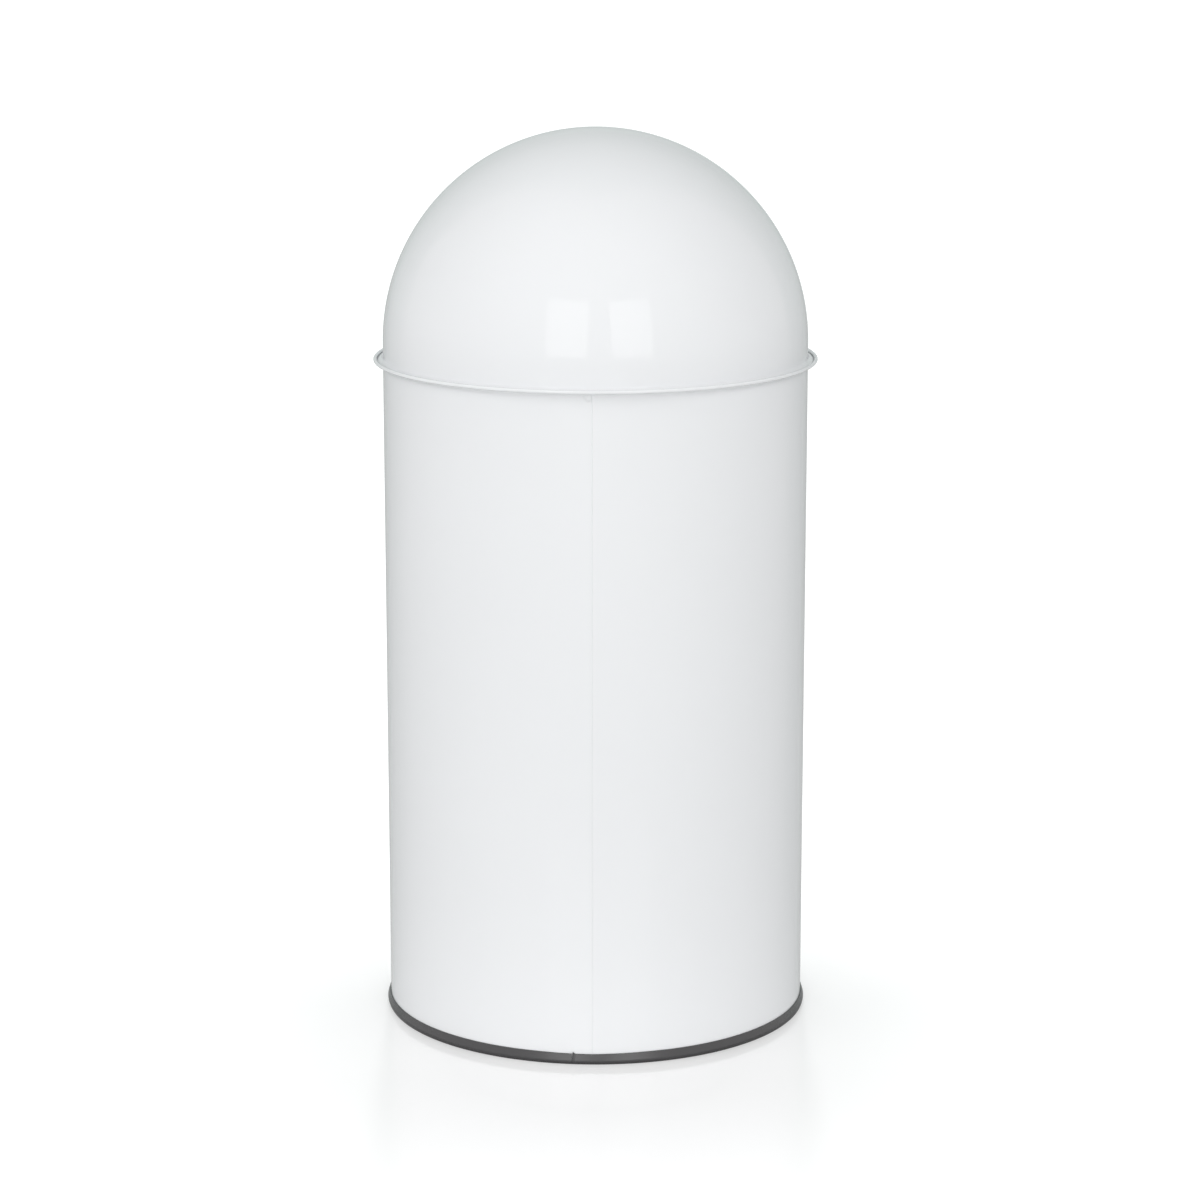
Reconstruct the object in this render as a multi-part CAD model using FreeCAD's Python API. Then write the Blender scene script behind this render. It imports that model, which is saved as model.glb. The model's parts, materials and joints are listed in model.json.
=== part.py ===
import FreeCAD, Part
import math
import os

os.makedirs("parts", exist_ok=True)

# Dome-top push bin. Millimetres and degrees, +Z up, origin on the floor under the middle.
# The push flap faces -Y, and the weld seam and the ring's joint are at the back, +Y.

# Sizes of the outer body
body_radius = 175.0
body_sheet = 0.6
rim_height = 550.0
rim_bend = 2.0
bead_reach = 7.9
bead_radius = 1.45
seam_width = 0.6
seam_depth = 0.25
seam_angle = 0.8

# Sizes of the base
ring_height = 9.0
ring_web = 2.5
ring_wall = 2.7
ring_inner_wall = 2.2
ring_rounding = 1.6
ring_joint_gap = 0.5
ring_joint_angle = 5.8
pan_height = 12.0
pan_sheet = 0.7
pan_bend = 2.0

# Sizes of the dome head
dome_wall = 14.4
dome_sheet = 0.8
foot_bend = 3.0
foot_gap = 0.4
locating_depth = 18.0
locating_lap = 9.0
locating_sheet = 0.8

# Sizes of the opening and its flap
opening_width = 220.0
opening_height = 150.0
opening_corner = 30.0
flap_drop = 1.8
flap_sheet = 0.7
flap_overlap = 8.0
flap_gap = 1.5
bumper_radius = 3.0

# Sizes of the flap's hinge
hinge_rise = 17.5
hinge_depth = 24.0
rod_radius = 2.5
rod_end = 3.0
bracket_spacing = 96.0
bracket_sheet = 1.6
bracket_foot_width = 16.0
bracket_foot_length = 26.0
bracket_margin = 9.0
bracket_eye = 8.0
strap_sheet = 1.6
strap_gap = 1.0
strap_foot_width = 18.0
strap_foot_length = 36.0
strap_margin = 2.0
strap_eye = 7.0
clip_sheet = 1.2
clip_radius = 5.5
clip_groove = 0.5
clip_mouth = 3.0

# Sizes of the return spring
spring_wire = 1.8
spring_coil_gap = 0.8
spring_pitch = 2.6
spring_turns = 9
spring_dome_leg_angle = -91.5
spring_flap_leg_angle = 39.0

# Sizes of the inner liner
liner_clearance = 8.2
liner_height = 490.0
liner_draft = 5.0
liner_sheet = 0.5
curl_radius = 3.0
curl_sweep = 300.0
liner_recess = 5.0
liner_bottom_sheet = 0.6
rim_wire_play = 0.95

# Sizes of the liner's handle
ear_width = 22.0
ear_sheet = 1.6
ear_eye = 8.0
ear_depth = 30.0
ear_shoulder = 5.0
rivet_radius = 2.0
rivet_head = 3.6
rivet_head_height = 1.6
head_rounding = 1.2
rivet_spacing = 12.0
rivet_rise = 9.0
bail_wire_radius = 2.4
bail_bend = 6.0
bail_shoulder = 4.0
bail_head = 3.6
grip_radius = 6.0
grip_length = 100.0

# Clearances
weld_gap = 0.05
fit_gap = 0.1
running_gap = 0.08
touch_gap = 0.3
bearing_gap = 0.4
bumper_gap = 0.6
trim_allowance = 0.02

# Places worked out for the body and the base
wall_inside = body_radius - body_sheet
seat_height = rim_height + body_sheet
bend_height = rim_height - rim_bend
bend_reach = body_radius + rim_bend
bead_ring = body_radius + bead_reach - bead_radius
bead_height = rim_height + bead_radius
pan_outside = wall_inside - fit_gap
pan_inside = pan_outside - pan_sheet
pan_top = pan_height + pan_sheet
slot_outside = body_radius + fit_gap
slot_inside = pan_inside - fit_gap
ring_outside = slot_outside + ring_wall
ring_inside = slot_inside - ring_inner_wall

# Places worked out for the dome head
dome_inside = body_radius - dome_sheet
dome_height = seat_height + dome_wall
foot_reach = body_radius + foot_bend
foot_top = seat_height + dome_sheet
lip_reach = bead_ring - bead_radius - foot_gap
locating_outside = min(wall_inside - touch_gap, dome_inside - fit_gap)

# Places worked out for the flap and its hinge
flap_outside = dome_inside - flap_gap
flap_inside = flap_outside - flap_sheet
flap_half_width = opening_width / 2 + flap_overlap
flap_half_height = opening_height / 2 + flap_overlap
hinge_reach = dome_inside - hinge_depth
hinge_up = flap_half_height + hinge_rise
hinge_out = math.sqrt(hinge_reach ** 2 - hinge_up ** 2)
bracket_inner_face = bracket_spacing / 2
bracket_outer_face = bracket_inner_face + bracket_sheet
strap_outer_face = bracket_inner_face - strap_gap
strap_inner_face = strap_outer_face - strap_sheet
clip_inner_face = bracket_outer_face + touch_gap
groove_width = clip_sheet + 2 * fit_gap
rod_half_length = clip_inner_face + clip_sheet + rod_end

# Places worked out for the liner and its handle
rim_ring = wall_inside - liner_clearance - curl_radius
liner_top_inside = rim_ring - curl_radius
liner_foot_inside = liner_top_inside - liner_draft
rim_top = pan_top + liner_height
curl_height = rim_top - curl_radius
pivot_height = rim_top + grip_radius + touch_gap
ear_low = rim_top - ear_depth
liner_slope = liner_draft / (curl_height - pan_top)
ear_wall_inside = liner_foot_inside + liner_slope * (ear_low - pan_top)
ear_outer_face = math.sqrt(ear_wall_inside ** 2 - (ear_width / 2) ** 2) - fit_gap
ear_inner_face = ear_outer_face - ear_sheet
rivet_height = ear_low + rivet_rise
bail_half_width = ear_inner_face - bail_shoulder - bail_bend
bail_middle = rim_ring - bail_half_width

across = FreeCAD.Vector(1, 0, 0)
upright = FreeCAD.Vector(0, 0, 1)
middle = FreeCAD.Vector(0, 0, 0)
dome_centre = FreeCAD.Vector(0, 0, dome_height)

# The opening is tilted up until the flap's lower corners reach just below the dome's widest line
corner_aside = opening_width / 2 - opening_corner
corner_out = math.sqrt(flap_outside ** 2 - corner_aside ** 2 - flap_half_height ** 2)
corner_reach = math.hypot(corner_out, flap_half_height)
tilt = math.atan2(flap_half_height, corner_out) - math.asin(flap_drop / corner_reach)
opening_out = FreeCAD.Vector(0, -math.cos(tilt), math.sin(tilt))
opening_up = FreeCAD.Vector(0, math.sin(tilt), math.cos(tilt))


def at_opening(sideways, up, out):
    """A point given from the dome's centre along the opening's own three directions."""
    return dome_centre + across * sideways + opening_up * up + opening_out * out


def on_circle(centre, radius, degrees):
    """A point of a circle in an outline."""
    angle = math.radians(degrees)
    return (centre[0] + radius * math.cos(angle), centre[1] + radius * math.sin(angle))


def bend(centre, radius, first, last):
    """Two arc steps that go round part of a circle in an outline."""
    quarter = (last - first) / 4
    points = [on_circle(centre, radius, first + quarter * count) for count in range(5)]
    return [points[1] + points[2], points[3] + points[4]]


def outline_face(steps, place):
    """A face inside a closed outline. A step of two numbers is a line, one of four an arc."""
    edges = []
    here = place(*steps[0])
    for step in steps[1:] + [steps[0]]:
        there = place(*step[-2:])
        if len(step) == 4:
            edges.append(Part.Arc(here, place(*step[:2]), there).toShape())
        elif here.distanceToPoint(there) > 1e-6:
            edges.append(Part.LineSegment(here, there).toShape())
        here = there
    return Part.Face(Part.Wire(edges))


def turned(steps):
    """Spin an outline of (radius, height) steps about the upright axis."""
    face = outline_face(steps, lambda radius, height: FreeCAD.Vector(radius, 0, height))
    return face.revolve(middle, upright, 360)


def turned_across(steps, y, z):
    """Spin an outline of (x, radius) steps about a level axis through y and z."""
    face = outline_face(steps, lambda x, radius: FreeCAD.Vector(x, y + radius, z))
    return face.revolve(FreeCAD.Vector(0, y, z), across, 360)


def plate(steps, place, thickness):
    """A flat plate of a given thickness towards +X."""
    return outline_face(steps, place).extrude(across * thickness)


def opening_prism(half_width, half_height, corner, sideways=0.0, up=0.0):
    """A long rounded block along the opening's outward direction."""
    steps = [(half_width, corner - half_height)]
    centres = [(1, 1, 0), (-1, 1, 90), (-1, -1, 180), (1, -1, 270)]
    for side, level, first in centres:
        centre = (side * (half_width - corner), level * (half_height - corner))
        steps.append(on_circle(centre, corner, first))
        steps.append(on_circle(centre, corner, first + 45) + on_circle(centre, corner, first + 90))
    place = lambda u, v: at_opening(sideways + u, up + v, 0)
    return outline_face(steps[1:], place).extrude(opening_out * (2 * body_radius))


def ball(radius, pole=upright):
    """A full ball about the dome's centre. Its pole is kept off the surface that a piece uses."""
    return Part.makeSphere(radius, dome_centre, pole)


def shell_patch(outside, thickness, prism):
    """The part of a thin ball shell that lies inside a prism."""
    return ball(outside).cut(ball(outside - thickness)).common(prism)


def rod_bore(extra):
    """A cylinder on the hinge axis, wider than the rod by the given clearance."""
    start = at_opening(-body_radius, hinge_up, hinge_out)
    return Part.makeCylinder(rod_radius + extra, 2 * body_radius, start, across)


def hinge_arm(inner_face, sheet, eye, reach, low, high):
    """A plate from an eye round the hinge axis to a curved foot between two heights.

    The blank runs a little past the ball that trims it, by a share of its reach.
    """
    in_plane = math.sqrt(reach ** 2 - (inner_face + sheet) ** 2)
    foot_low = (math.sqrt(in_plane ** 2 - low ** 2), low)
    foot_high = (math.sqrt(in_plane ** 2 - high ** 2), high)
    hinge = (hinge_out, hinge_up)
    foot_way = math.atan2((low + high) / 2 - hinge_up, (foot_low[0] + foot_high[0]) / 2 - hinge_out)
    turn = math.degrees(foot_way)
    past = reach / math.hypot(*foot_low) + trim_allowance
    steps = [
        on_circle(hinge, eye, turn - 90),
        (foot_low[0] * past, foot_low[1] * past),
        (foot_high[0] * past, foot_high[1] * past),
        on_circle(hinge, eye, turn + 90),
    ]
    steps += bend(hinge, eye, turn + 90, turn + 270)
    blank = plate(steps, lambda out, up: at_opening(inner_face, up, out), sheet)
    return blank.common(ball(reach))


def save(name, shape):
    """Write one piece, or one group of loose pieces, to its own file."""
    shape = shape.removeSplitter()
    solids = shape.Solids
    print(name, len(solids), "solid", round(shape.Volume, 1), "mm3", "valid", shape.isValid())
    shape = solids[0] if len(solids) == 1 else Part.Compound(solids)
    shape.exportStep("parts/" + name + ".step")


def mirrored(shape):
    """The same piece on the other side of the bin."""
    return shape.mirror(middle, across)


# Body tube with an outward seat flange and a rolled bead
body_steps = [(wall_inside, ring_web), (body_radius, ring_web), (body_radius, bend_height)]
body_steps += bend((bend_reach, bend_height), rim_bend, 180, 90)
body_steps.append((bead_ring, rim_height))
bead_end = 180 + math.degrees(math.asin((bead_radius - body_sheet) / bead_radius))
body_steps += bend((bead_ring, bead_height), bead_radius, -90, bead_end)
body_steps.append((bend_reach, seat_height))
body_steps += bend((bend_reach, bend_height), rim_bend + body_sheet, 90, 180)
body_shell = turned(body_steps)

# Weld seam, a shallow groove down the back
seam = Part.makeBox(seam_width, 2 * seam_depth, bend_height - ring_web)
seam.translate(FreeCAD.Vector(-seam_width / 2, body_radius - seam_depth, ring_web))
seam.rotate(middle, upright, -seam_angle)
save("body_shell", body_shell.cut(seam))

# Flanged disc that closes the tube
pan_bend_centre = pan_outside - pan_bend
pan_steps = [(0, pan_top), (0, pan_height), (pan_bend_centre, pan_height)]
pan_steps += bend((pan_bend_centre, pan_top - pan_bend), pan_bend - pan_sheet, 90, 0)
pan_steps += [(pan_inside, ring_web), (pan_outside, ring_web), (pan_outside, pan_top - pan_bend)]
pan_steps += bend((pan_bend_centre, pan_top - pan_bend), pan_bend, 0, 90)
save("bottom_pan", turned(pan_steps))

# Floor protector strip of U section, with its butt joint at the back
ring_corner = ring_outside - ring_rounding
ring_steps = [(ring_inside, 0), (ring_corner, 0)]
ring_steps += bend((ring_corner, ring_rounding), ring_rounding, -90, 0)
ring_steps.append((ring_outside, ring_height - ring_rounding))
ring_steps += bend((ring_corner, ring_height - ring_rounding), ring_rounding, 0, 90)
ring_steps += [(slot_outside, ring_height), (slot_outside, ring_web)]
ring_steps += [(slot_inside, ring_web), (slot_inside, ring_height), (ring_inside, ring_height)]
joint = Part.makeBox(ring_joint_gap, ring_outside, ring_height)
joint.translate(FreeCAD.Vector(-ring_joint_gap / 2, 0, 0))
joint.rotate(middle, upright, -ring_joint_angle)
save("base_ring", turned(ring_steps).cut(joint))

# Flared foot and straight wall of the head, which sit on the body's flange
foot_centre = (foot_reach, foot_top + foot_bend)
foot_steps = [(body_radius, dome_height), (body_radius, foot_top + foot_bend)]
foot_steps += bend(foot_centre, foot_bend, 180, 270)
foot_steps += [(lip_reach, foot_top), (lip_reach, seat_height), (foot_reach, seat_height)]
foot_steps += bend(foot_centre, foot_bend + dome_sheet, 270, 180)
foot_steps.append((dome_inside, dome_height))
dome_foot = turned(foot_steps)

# Hemisphere above the foot, in one piece with it, and the opening through its front
upper_half = Part.makeCylinder(2 * body_radius, 2 * body_radius, dome_centre)
hemisphere = ball(body_radius, opening_out).cut(ball(dome_inside, opening_out)).common(upper_half)
opening = opening_prism(opening_width / 2, opening_height / 2, opening_corner)
save("dome_shell", hemisphere.fuse(dome_foot).cut(opening))

# Band inside the foot that centres the head in the tube
locating_inside = locating_outside - locating_sheet
locating_low = seat_height - locating_depth
locating_high = seat_height + locating_lap
locating_steps = [(locating_inside, locating_low), (locating_outside, locating_low)]
locating_steps += [(locating_outside, locating_high), (locating_inside, locating_high)]
save("locating_ring", turned(locating_steps))

# Curved flap that closes the opening from behind
flap_outline = opening_prism(flap_half_width, flap_half_height, opening_corner + flap_overlap)
save("push_flap", shell_patch(flap_outside, flap_sheet, flap_outline))

# Rubber pads in the flap's margin
bumper_thickness = flap_gap - bumper_gap - weld_gap
bumper_shell = ball(flap_outside + weld_gap + bumper_thickness).cut(ball(flap_outside + weld_gap))
margin_side = opening_width / 2 + flap_overlap / 2
margin_low = -opening_height / 2 - flap_overlap / 2
bumpers = []
for side in (-1, 1):
    for sideways, up in ((opening_width / 4, margin_low), (margin_side, 0)):
        out = math.sqrt(flap_outside ** 2 - sideways ** 2 - up ** 2)
        way = at_opening(side * sideways, up, out) - dome_centre
        pad = Part.makeCylinder(bumper_radius, 2 * body_radius, dome_centre, way)
        bumpers.append(bumper_shell.common(pad))
save("flap_bumpers", Part.Compound(bumpers))

# Brackets inside the dome, each a curved foot with an ear for the rod
bracket_low = flap_half_height + bracket_margin
bracket_high = bracket_low + bracket_foot_length
bracket_middle = bracket_inner_face + bracket_foot_width / 2
bracket_reach = dome_inside - weld_gap
bracket_foot = shell_patch(
    bracket_reach,
    bracket_sheet,
    opening_prism(
        bracket_foot_width / 2,
        bracket_foot_length / 2,
        bracket_sheet,
        bracket_middle,
        bracket_low + bracket_foot_length / 2,
    ),
)
bracket_arm = hinge_arm(
    bracket_inner_face, bracket_sheet, bracket_eye, bracket_reach, bracket_low, bracket_high
)
bracket = bracket_foot.fuse(bracket_arm).cut(rod_bore(fit_gap))
save("hinge_bracket_right", bracket)
save("hinge_bracket_left", mirrored(bracket))

# Straps on the flap, each a curved foot with an ear that turns on the rod
strap_high = opening_height / 2 - strap_margin
strap_low = strap_high - strap_foot_length
strap_reach = flap_inside - weld_gap
strap_foot = shell_patch(
    strap_reach,
    strap_sheet,
    opening_prism(
        strap_foot_width / 2,
        strap_foot_length / 2,
        strap_sheet,
        strap_outer_face - strap_foot_width / 2,
        strap_high - strap_foot_length / 2,
    ),
)
strap_arm = hinge_arm(strap_inner_face, strap_sheet, strap_eye, strap_reach, strap_low, strap_high)
strap = strap_foot.fuse(strap_arm).cut(rod_bore(running_gap))
save("flap_strap_right", strap)
save("flap_strap_left", mirrored(strap))

# Hinge rod with a groove for a clip at each end
rod_start = at_opening(-rod_half_length, hinge_up, hinge_out)
rod = Part.makeCylinder(rod_radius, 2 * rod_half_length, rod_start, across)
groove_bottom = rod_radius - clip_groove
for face in (clip_inner_face - fit_gap, -clip_inner_face - clip_sheet - fit_gap):
    start = at_opening(face, hinge_up, hinge_out)
    groove = Part.makeCylinder(rod_radius + fit_gap, groove_width, start, across)
    rod = rod.cut(groove.cut(Part.makeCylinder(groove_bottom, groove_width, start, across)))
save("hinge_rod", rod)

# Open spring clips in the grooves
clip_start = at_opening(clip_inner_face, hinge_up, hinge_out)
clip = Part.makeCylinder(clip_radius, clip_sheet, clip_start, across)
clip = clip.cut(Part.makeCylinder(groove_bottom + weld_gap, clip_sheet, clip_start, across))
mouth = Part.makeBox(clip_sheet, clip_mouth, clip_radius)
mouth.translate(clip_start + FreeCAD.Vector(0, -clip_mouth / 2, -clip_radius))
clip = clip.cut(mouth)
save("rod_clips", Part.Compound([clip, mirrored(clip)]))


def arc_under(start, corner, end):
    """The arc that touches the two equal sides from a corner at their ends."""
    chord_middle = (start + end) * 0.5
    half_chord = start.distanceToPoint(end) / 2
    rise = corner - chord_middle
    half_turn = math.atan2(rise.Length, half_chord)
    crown = chord_middle + rise * (half_chord * math.tan(half_turn / 2) / rise.Length)
    return Part.Arc(start, crown, end).toShape()


def biarc(start, start_way, end, end_way):
    """Two tangent arcs between two points with given directions."""
    gap = end - start
    along = gap.dot(start_way + end_way)
    turn = 2 * (1 - start_way.dot(end_way))
    side = (math.sqrt(along ** 2 + turn * gap.dot(gap)) - along) / turn
    first_corner = start + start_way * side
    last_corner = end - end_way * side
    meeting = (first_corner + last_corner) * 0.5
    return [arc_under(start, first_corner, meeting), arc_under(meeting, last_corner, end)]


def leg_length(start, way, reach):
    """How far a straight leg runs from a point until it comes to a ball about the dome's centre."""
    offset = start - dome_centre
    along = offset.dot(way)
    return math.sqrt(along ** 2 - offset.dot(offset) + reach ** 2) - along


# Torsion spring on the rod, one leg on the dome and the other on the flap
wire_radius = spring_wire / 2
coil_radius = rod_radius + spring_coil_gap + wire_radius
out_angle = 180 - math.degrees(tilt)
coil_first = out_angle + spring_dome_leg_angle + 90
coil_last = out_angle + spring_flap_leg_angle - 90 + 360 * (spring_turns + 1)
coil_length = spring_pitch * (coil_last - coil_first) / 360
coil_centre = at_opening(0, hinge_up, hinge_out)
rise_rate = spring_pitch / (2 * math.pi)


def coil_point(degrees):
    """A point of the coil's middle line, and the direction the wire takes there."""
    angle = math.radians(degrees)
    along = (degrees - coil_first) / 360 * spring_pitch - coil_length / 2
    round_rod = FreeCAD.Vector(0, math.cos(angle), math.sin(angle)) * coil_radius
    way = FreeCAD.Vector(rise_rate, -coil_radius * math.sin(angle), coil_radius * math.cos(angle))
    return coil_centre + across * along + round_rod, way.normalize()


quarter_turns = math.ceil((coil_last - coil_first) / 90)
stations = [
    coil_point(coil_first + (coil_last - coil_first) * count / quarter_turns)
    for count in range(quarter_turns + 1)
]
first_point, first_way = stations[0]
last_point, last_way = stations[-1]
seat_gap = wire_radius + touch_gap
dome_leg = leg_length(first_point, first_way * -1, dome_inside - seat_gap)
flap_leg = leg_length(last_point, last_way, flap_inside - seat_gap)
dome_leg_tip = first_point - first_way * dome_leg
flap_leg_tip = last_point + last_way * flap_leg
spring_edges = [Part.LineSegment(dome_leg_tip, first_point).toShape()]
for (here, way), (there, next_way) in zip(stations, stations[1:]):
    spring_edges += biarc(here, way, there, next_way)
spring_edges.append(Part.LineSegment(last_point, flap_leg_tip).toShape())
spring_line = Part.Wire(spring_edges)
wire_section = Part.Wire(Part.makeCircle(wire_radius, dome_leg_tip, first_way))
return_spring = spring_line.makePipeShell([wire_section], True, False)
save("return_spring", return_spring)

# Least gap between the spring's turns, measured on points of its middle line
sample_step = wire_radius / 2
line_points = spring_line.discretize(Distance=sample_step)
nearest_neighbour = math.ceil(4 * spring_wire / sample_step)
least_gap = min(
    here.distanceToPoint(there) - spring_wire
    for place, here in enumerate(line_points)
    for there in line_points[place + nearest_neighbour:]
)
print("opening tilted up", round(math.degrees(tilt), 3), "degrees, hinge at", coil_centre)
print("return_spring least gap to itself", round(least_gap, 3), "mm")
print("return_spring volume over wire", round(return_spring.Volume / (
    math.pi * wire_radius ** 2 * spring_line.Length), 4))

# Rivets of the liner's ears
rivet_places = [(side * rivet_spacing / 2, rivet_height) for side in (-1, 1)]
liner_outside_there = liner_foot_inside + liner_slope * (rivet_height - pan_top) + liner_sheet
head_seat = liner_outside_there + weld_gap
inner_head_seat = ear_inner_face - weld_gap
inner_head_top = inner_head_seat - rivet_head_height
outer_head_top = head_seat + rivet_head_height
head_crown = rivet_head - head_rounding
rivet_steps = [(inner_head_top, 0), (inner_head_top, head_crown)]
rivet_steps += bend((inner_head_top + head_rounding, head_crown), head_rounding, 180, 90)
rivet_steps += [(inner_head_seat, rivet_head), (inner_head_seat, rivet_radius)]
rivet_steps += [(head_seat, rivet_radius), (head_seat, rivet_head)]
rivet_steps.append((outer_head_top - head_rounding, rivet_head))
rivet_steps += bend((outer_head_top - head_rounding, head_crown), head_rounding, 90, 0)
rivet_steps.append((outer_head_top, 0))
rivets = [turned_across(rivet_steps, y, z) for y, z in rivet_places]
rivets += [mirrored(rivet) for rivet in rivets]
save("ear_rivets", Part.Compound(rivets))
rivet_bores = [
    Part.makeCylinder(
        rivet_radius + weld_gap, 2 * body_radius, FreeCAD.Vector(-body_radius, y, z), across
    )
    for y, z in rivet_places
]

# Tapered liner wall with its rim curled outward
liner_steps = [(liner_foot_inside, pan_top), (liner_foot_inside + liner_sheet, pan_top)]
liner_steps.append((liner_top_inside + liner_sheet, curl_height))
curl_end = 180 - curl_sweep
liner_steps += bend((rim_ring, curl_height), curl_radius - liner_sheet, 180, curl_end)
liner_steps.append(on_circle((rim_ring, curl_height), curl_radius, curl_end))
liner_steps += bend((rim_ring, curl_height), curl_radius, curl_end, 180)
liner_shell = turned(liner_steps)
for bore in rivet_bores:
    liner_shell = liner_shell.cut(bore)
save("liner_shell", liner_shell)

# Wire inside the curl
rim_wire_radius = curl_radius - liner_sheet - rim_wire_play
save(
    "liner_rim_wire",
    Part.makeTorus(rim_ring, rim_wire_radius, FreeCAD.Vector(0, 0, curl_height)),
)

# Recessed bottom disc with a flange inside the liner's wall
disc_outside = liner_foot_inside - fit_gap
disc_inside = disc_outside - liner_bottom_sheet
disc_low = pan_top + liner_recess
disc_steps = [(0, disc_low + liner_bottom_sheet), (0, disc_low), (disc_inside, disc_low)]
disc_steps += [(disc_inside, pan_top + touch_gap), (disc_outside, pan_top + touch_gap)]
disc_steps.append((disc_outside, disc_low + liner_bottom_sheet))
save("liner_bottom", turned(disc_steps))

# Ears that carry the handle, riveted inside the wall
ear_half = ear_width / 2
ear_steps = [(-ear_half, ear_low), (ear_half, ear_low), (ear_half, rim_top - ear_shoulder)]
ear_steps.append((ear_eye, pivot_height))
ear_steps += bend((0, pivot_height), ear_eye, 0, 180)
ear_steps.append((-ear_half, rim_top - ear_shoulder))
ear = plate(ear_steps, lambda y, z: FreeCAD.Vector(ear_inner_face, y, z), ear_sheet)
for bore in rivet_bores:
    ear = ear.cut(bore)
pivot_start = FreeCAD.Vector(-body_radius, 0, pivot_height)
ear = ear.cut(Part.makeCylinder(bail_wire_radius + running_gap, 2 * body_radius, pivot_start, across))
save("ear_right", ear)
save("ear_left", mirrored(ear))

# Wire handle: two ends through the ears, two legs and a half circle
head_inner_face = ear_outer_face + bearing_gap
bend_start = bail_half_width + bail_bend
corner_angle = math.radians(45)
corner_near = bail_bend * (1 - math.cos(corner_angle))


def bail_point(x, y):
    """A point in the handle's own level plane."""
    return FreeCAD.Vector(x, y, pivot_height)


right_leg = [
    Part.LineSegment(bail_point(head_inner_face, 0), bail_point(bend_start, 0)).toShape(),
    Part.Arc(
        bail_point(bend_start, 0),
        bail_point(bail_half_width + corner_near, corner_near),
        bail_point(bail_half_width, bail_bend),
    ).toShape(),
    Part.LineSegment(
        bail_point(bail_half_width, bail_bend), bail_point(bail_half_width, bail_middle)
    ).toShape(),
]
bow = [
    Part.Arc(
        bail_point(bail_half_width * math.cos(first), bail_middle + bail_half_width * math.sin(first)),
        bail_point(bail_half_width * math.cos(half), bail_middle + bail_half_width * math.sin(half)),
        bail_point(bail_half_width * math.cos(last), bail_middle + bail_half_width * math.sin(last)),
    ).toShape()
    for first, half, last in ((0, math.pi / 4, math.pi / 2), (math.pi / 2, 3 * math.pi / 4, math.pi))
]
left_leg = [mirrored(edge) for edge in reversed(right_leg)]
bail_line = Part.Wire(Part.__sortEdges__(right_leg + bow + left_leg))
bail_end = bail_point(head_inner_face, 0)
bail_section = Part.Wire(Part.makeCircle(bail_wire_radius, bail_end, across))
bail = bail_line.makePipeShell([bail_section], True, False)
bail_tip = head_inner_face + rivet_head_height
head_steps = [(head_inner_face, 0), (head_inner_face, bail_head)]
head_steps.append((bail_tip - head_rounding, bail_head))
head_steps += bend((bail_tip - head_rounding, bail_head - head_rounding), head_rounding, 90, 0)
head_steps.append((bail_tip, 0))
bail_knob = turned_across(head_steps, 0, pivot_height)
save("bail_wire", bail.fuse([bail_knob, mirrored(bail_knob)]))

# Moulded grip on the handle's middle
grip_half_angle = math.degrees(grip_length / 2 / bail_half_width)
bow_centre = bail_point(0, bail_middle)
grip_centre = bail_point(bail_half_width, bail_middle)
along_bow = FreeCAD.Vector(0, 1, 0)
grip_disc, bore_disc = (
    Part.Face(Part.Wire(Part.makeCircle(radius, grip_centre, along_bow)))
    for radius in (grip_radius, bail_wire_radius + fit_gap)
)
grip_face = grip_disc.cut(bore_disc).Faces[0]
grip_face.rotate(bow_centre, upright, 90 - grip_half_angle)
save("bail_grip", grip_face.revolve(bow_centre, upright, 2 * grip_half_angle))
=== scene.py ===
# %% [markdown]
# # A white dome-top push bin
# The real bin is a tall coated steel tube with a hemispherical head that lifts off. The head has a
# sprung flap, and a galvanised liner with a carrying handle stands inside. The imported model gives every
# piece its place, so this lesson only dresses it: smooth meshes, finishes, a studio and a camera.

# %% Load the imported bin
import json
import math

import bmesh
import bpy
import numpy as np
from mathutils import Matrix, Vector


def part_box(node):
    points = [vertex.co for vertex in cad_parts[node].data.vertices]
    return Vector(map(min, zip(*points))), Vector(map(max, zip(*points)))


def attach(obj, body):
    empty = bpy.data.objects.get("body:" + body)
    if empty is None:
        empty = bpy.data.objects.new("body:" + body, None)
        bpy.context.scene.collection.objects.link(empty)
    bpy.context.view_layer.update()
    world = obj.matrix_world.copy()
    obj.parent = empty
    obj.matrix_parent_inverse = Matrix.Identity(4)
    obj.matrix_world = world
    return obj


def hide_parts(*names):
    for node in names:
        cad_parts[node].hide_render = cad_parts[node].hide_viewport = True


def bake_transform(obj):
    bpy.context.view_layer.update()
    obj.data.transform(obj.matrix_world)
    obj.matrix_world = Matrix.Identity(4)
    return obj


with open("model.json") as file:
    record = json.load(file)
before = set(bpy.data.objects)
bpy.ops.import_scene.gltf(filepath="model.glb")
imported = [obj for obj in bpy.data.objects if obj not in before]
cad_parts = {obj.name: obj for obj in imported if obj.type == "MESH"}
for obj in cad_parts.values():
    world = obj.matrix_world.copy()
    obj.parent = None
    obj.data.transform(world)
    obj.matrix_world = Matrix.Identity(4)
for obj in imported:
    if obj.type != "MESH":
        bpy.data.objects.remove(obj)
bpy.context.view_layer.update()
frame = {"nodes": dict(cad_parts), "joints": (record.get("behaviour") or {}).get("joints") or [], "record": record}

mm = 0.001
print("nodes:", len(frame["nodes"]))

# %% [markdown]
# ## The camera
# The bin was photographed from a little above the rim, from far enough away that its sides stay almost
# parallel. The place, the pitch and the lens below make the rim, the base and the dome's outline fall
# on the same pixels as in the photograph. The camera stands on the seam side, so it looks along -Y.

# %% Stand the camera where the photographer stood
camera_back = 2.927
camera_height = 1.0004
camera_aside = -0.0037
camera_pitch = math.radians(12.601)
lens_mm = 107.49
sensor_mm = 36.0

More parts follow.
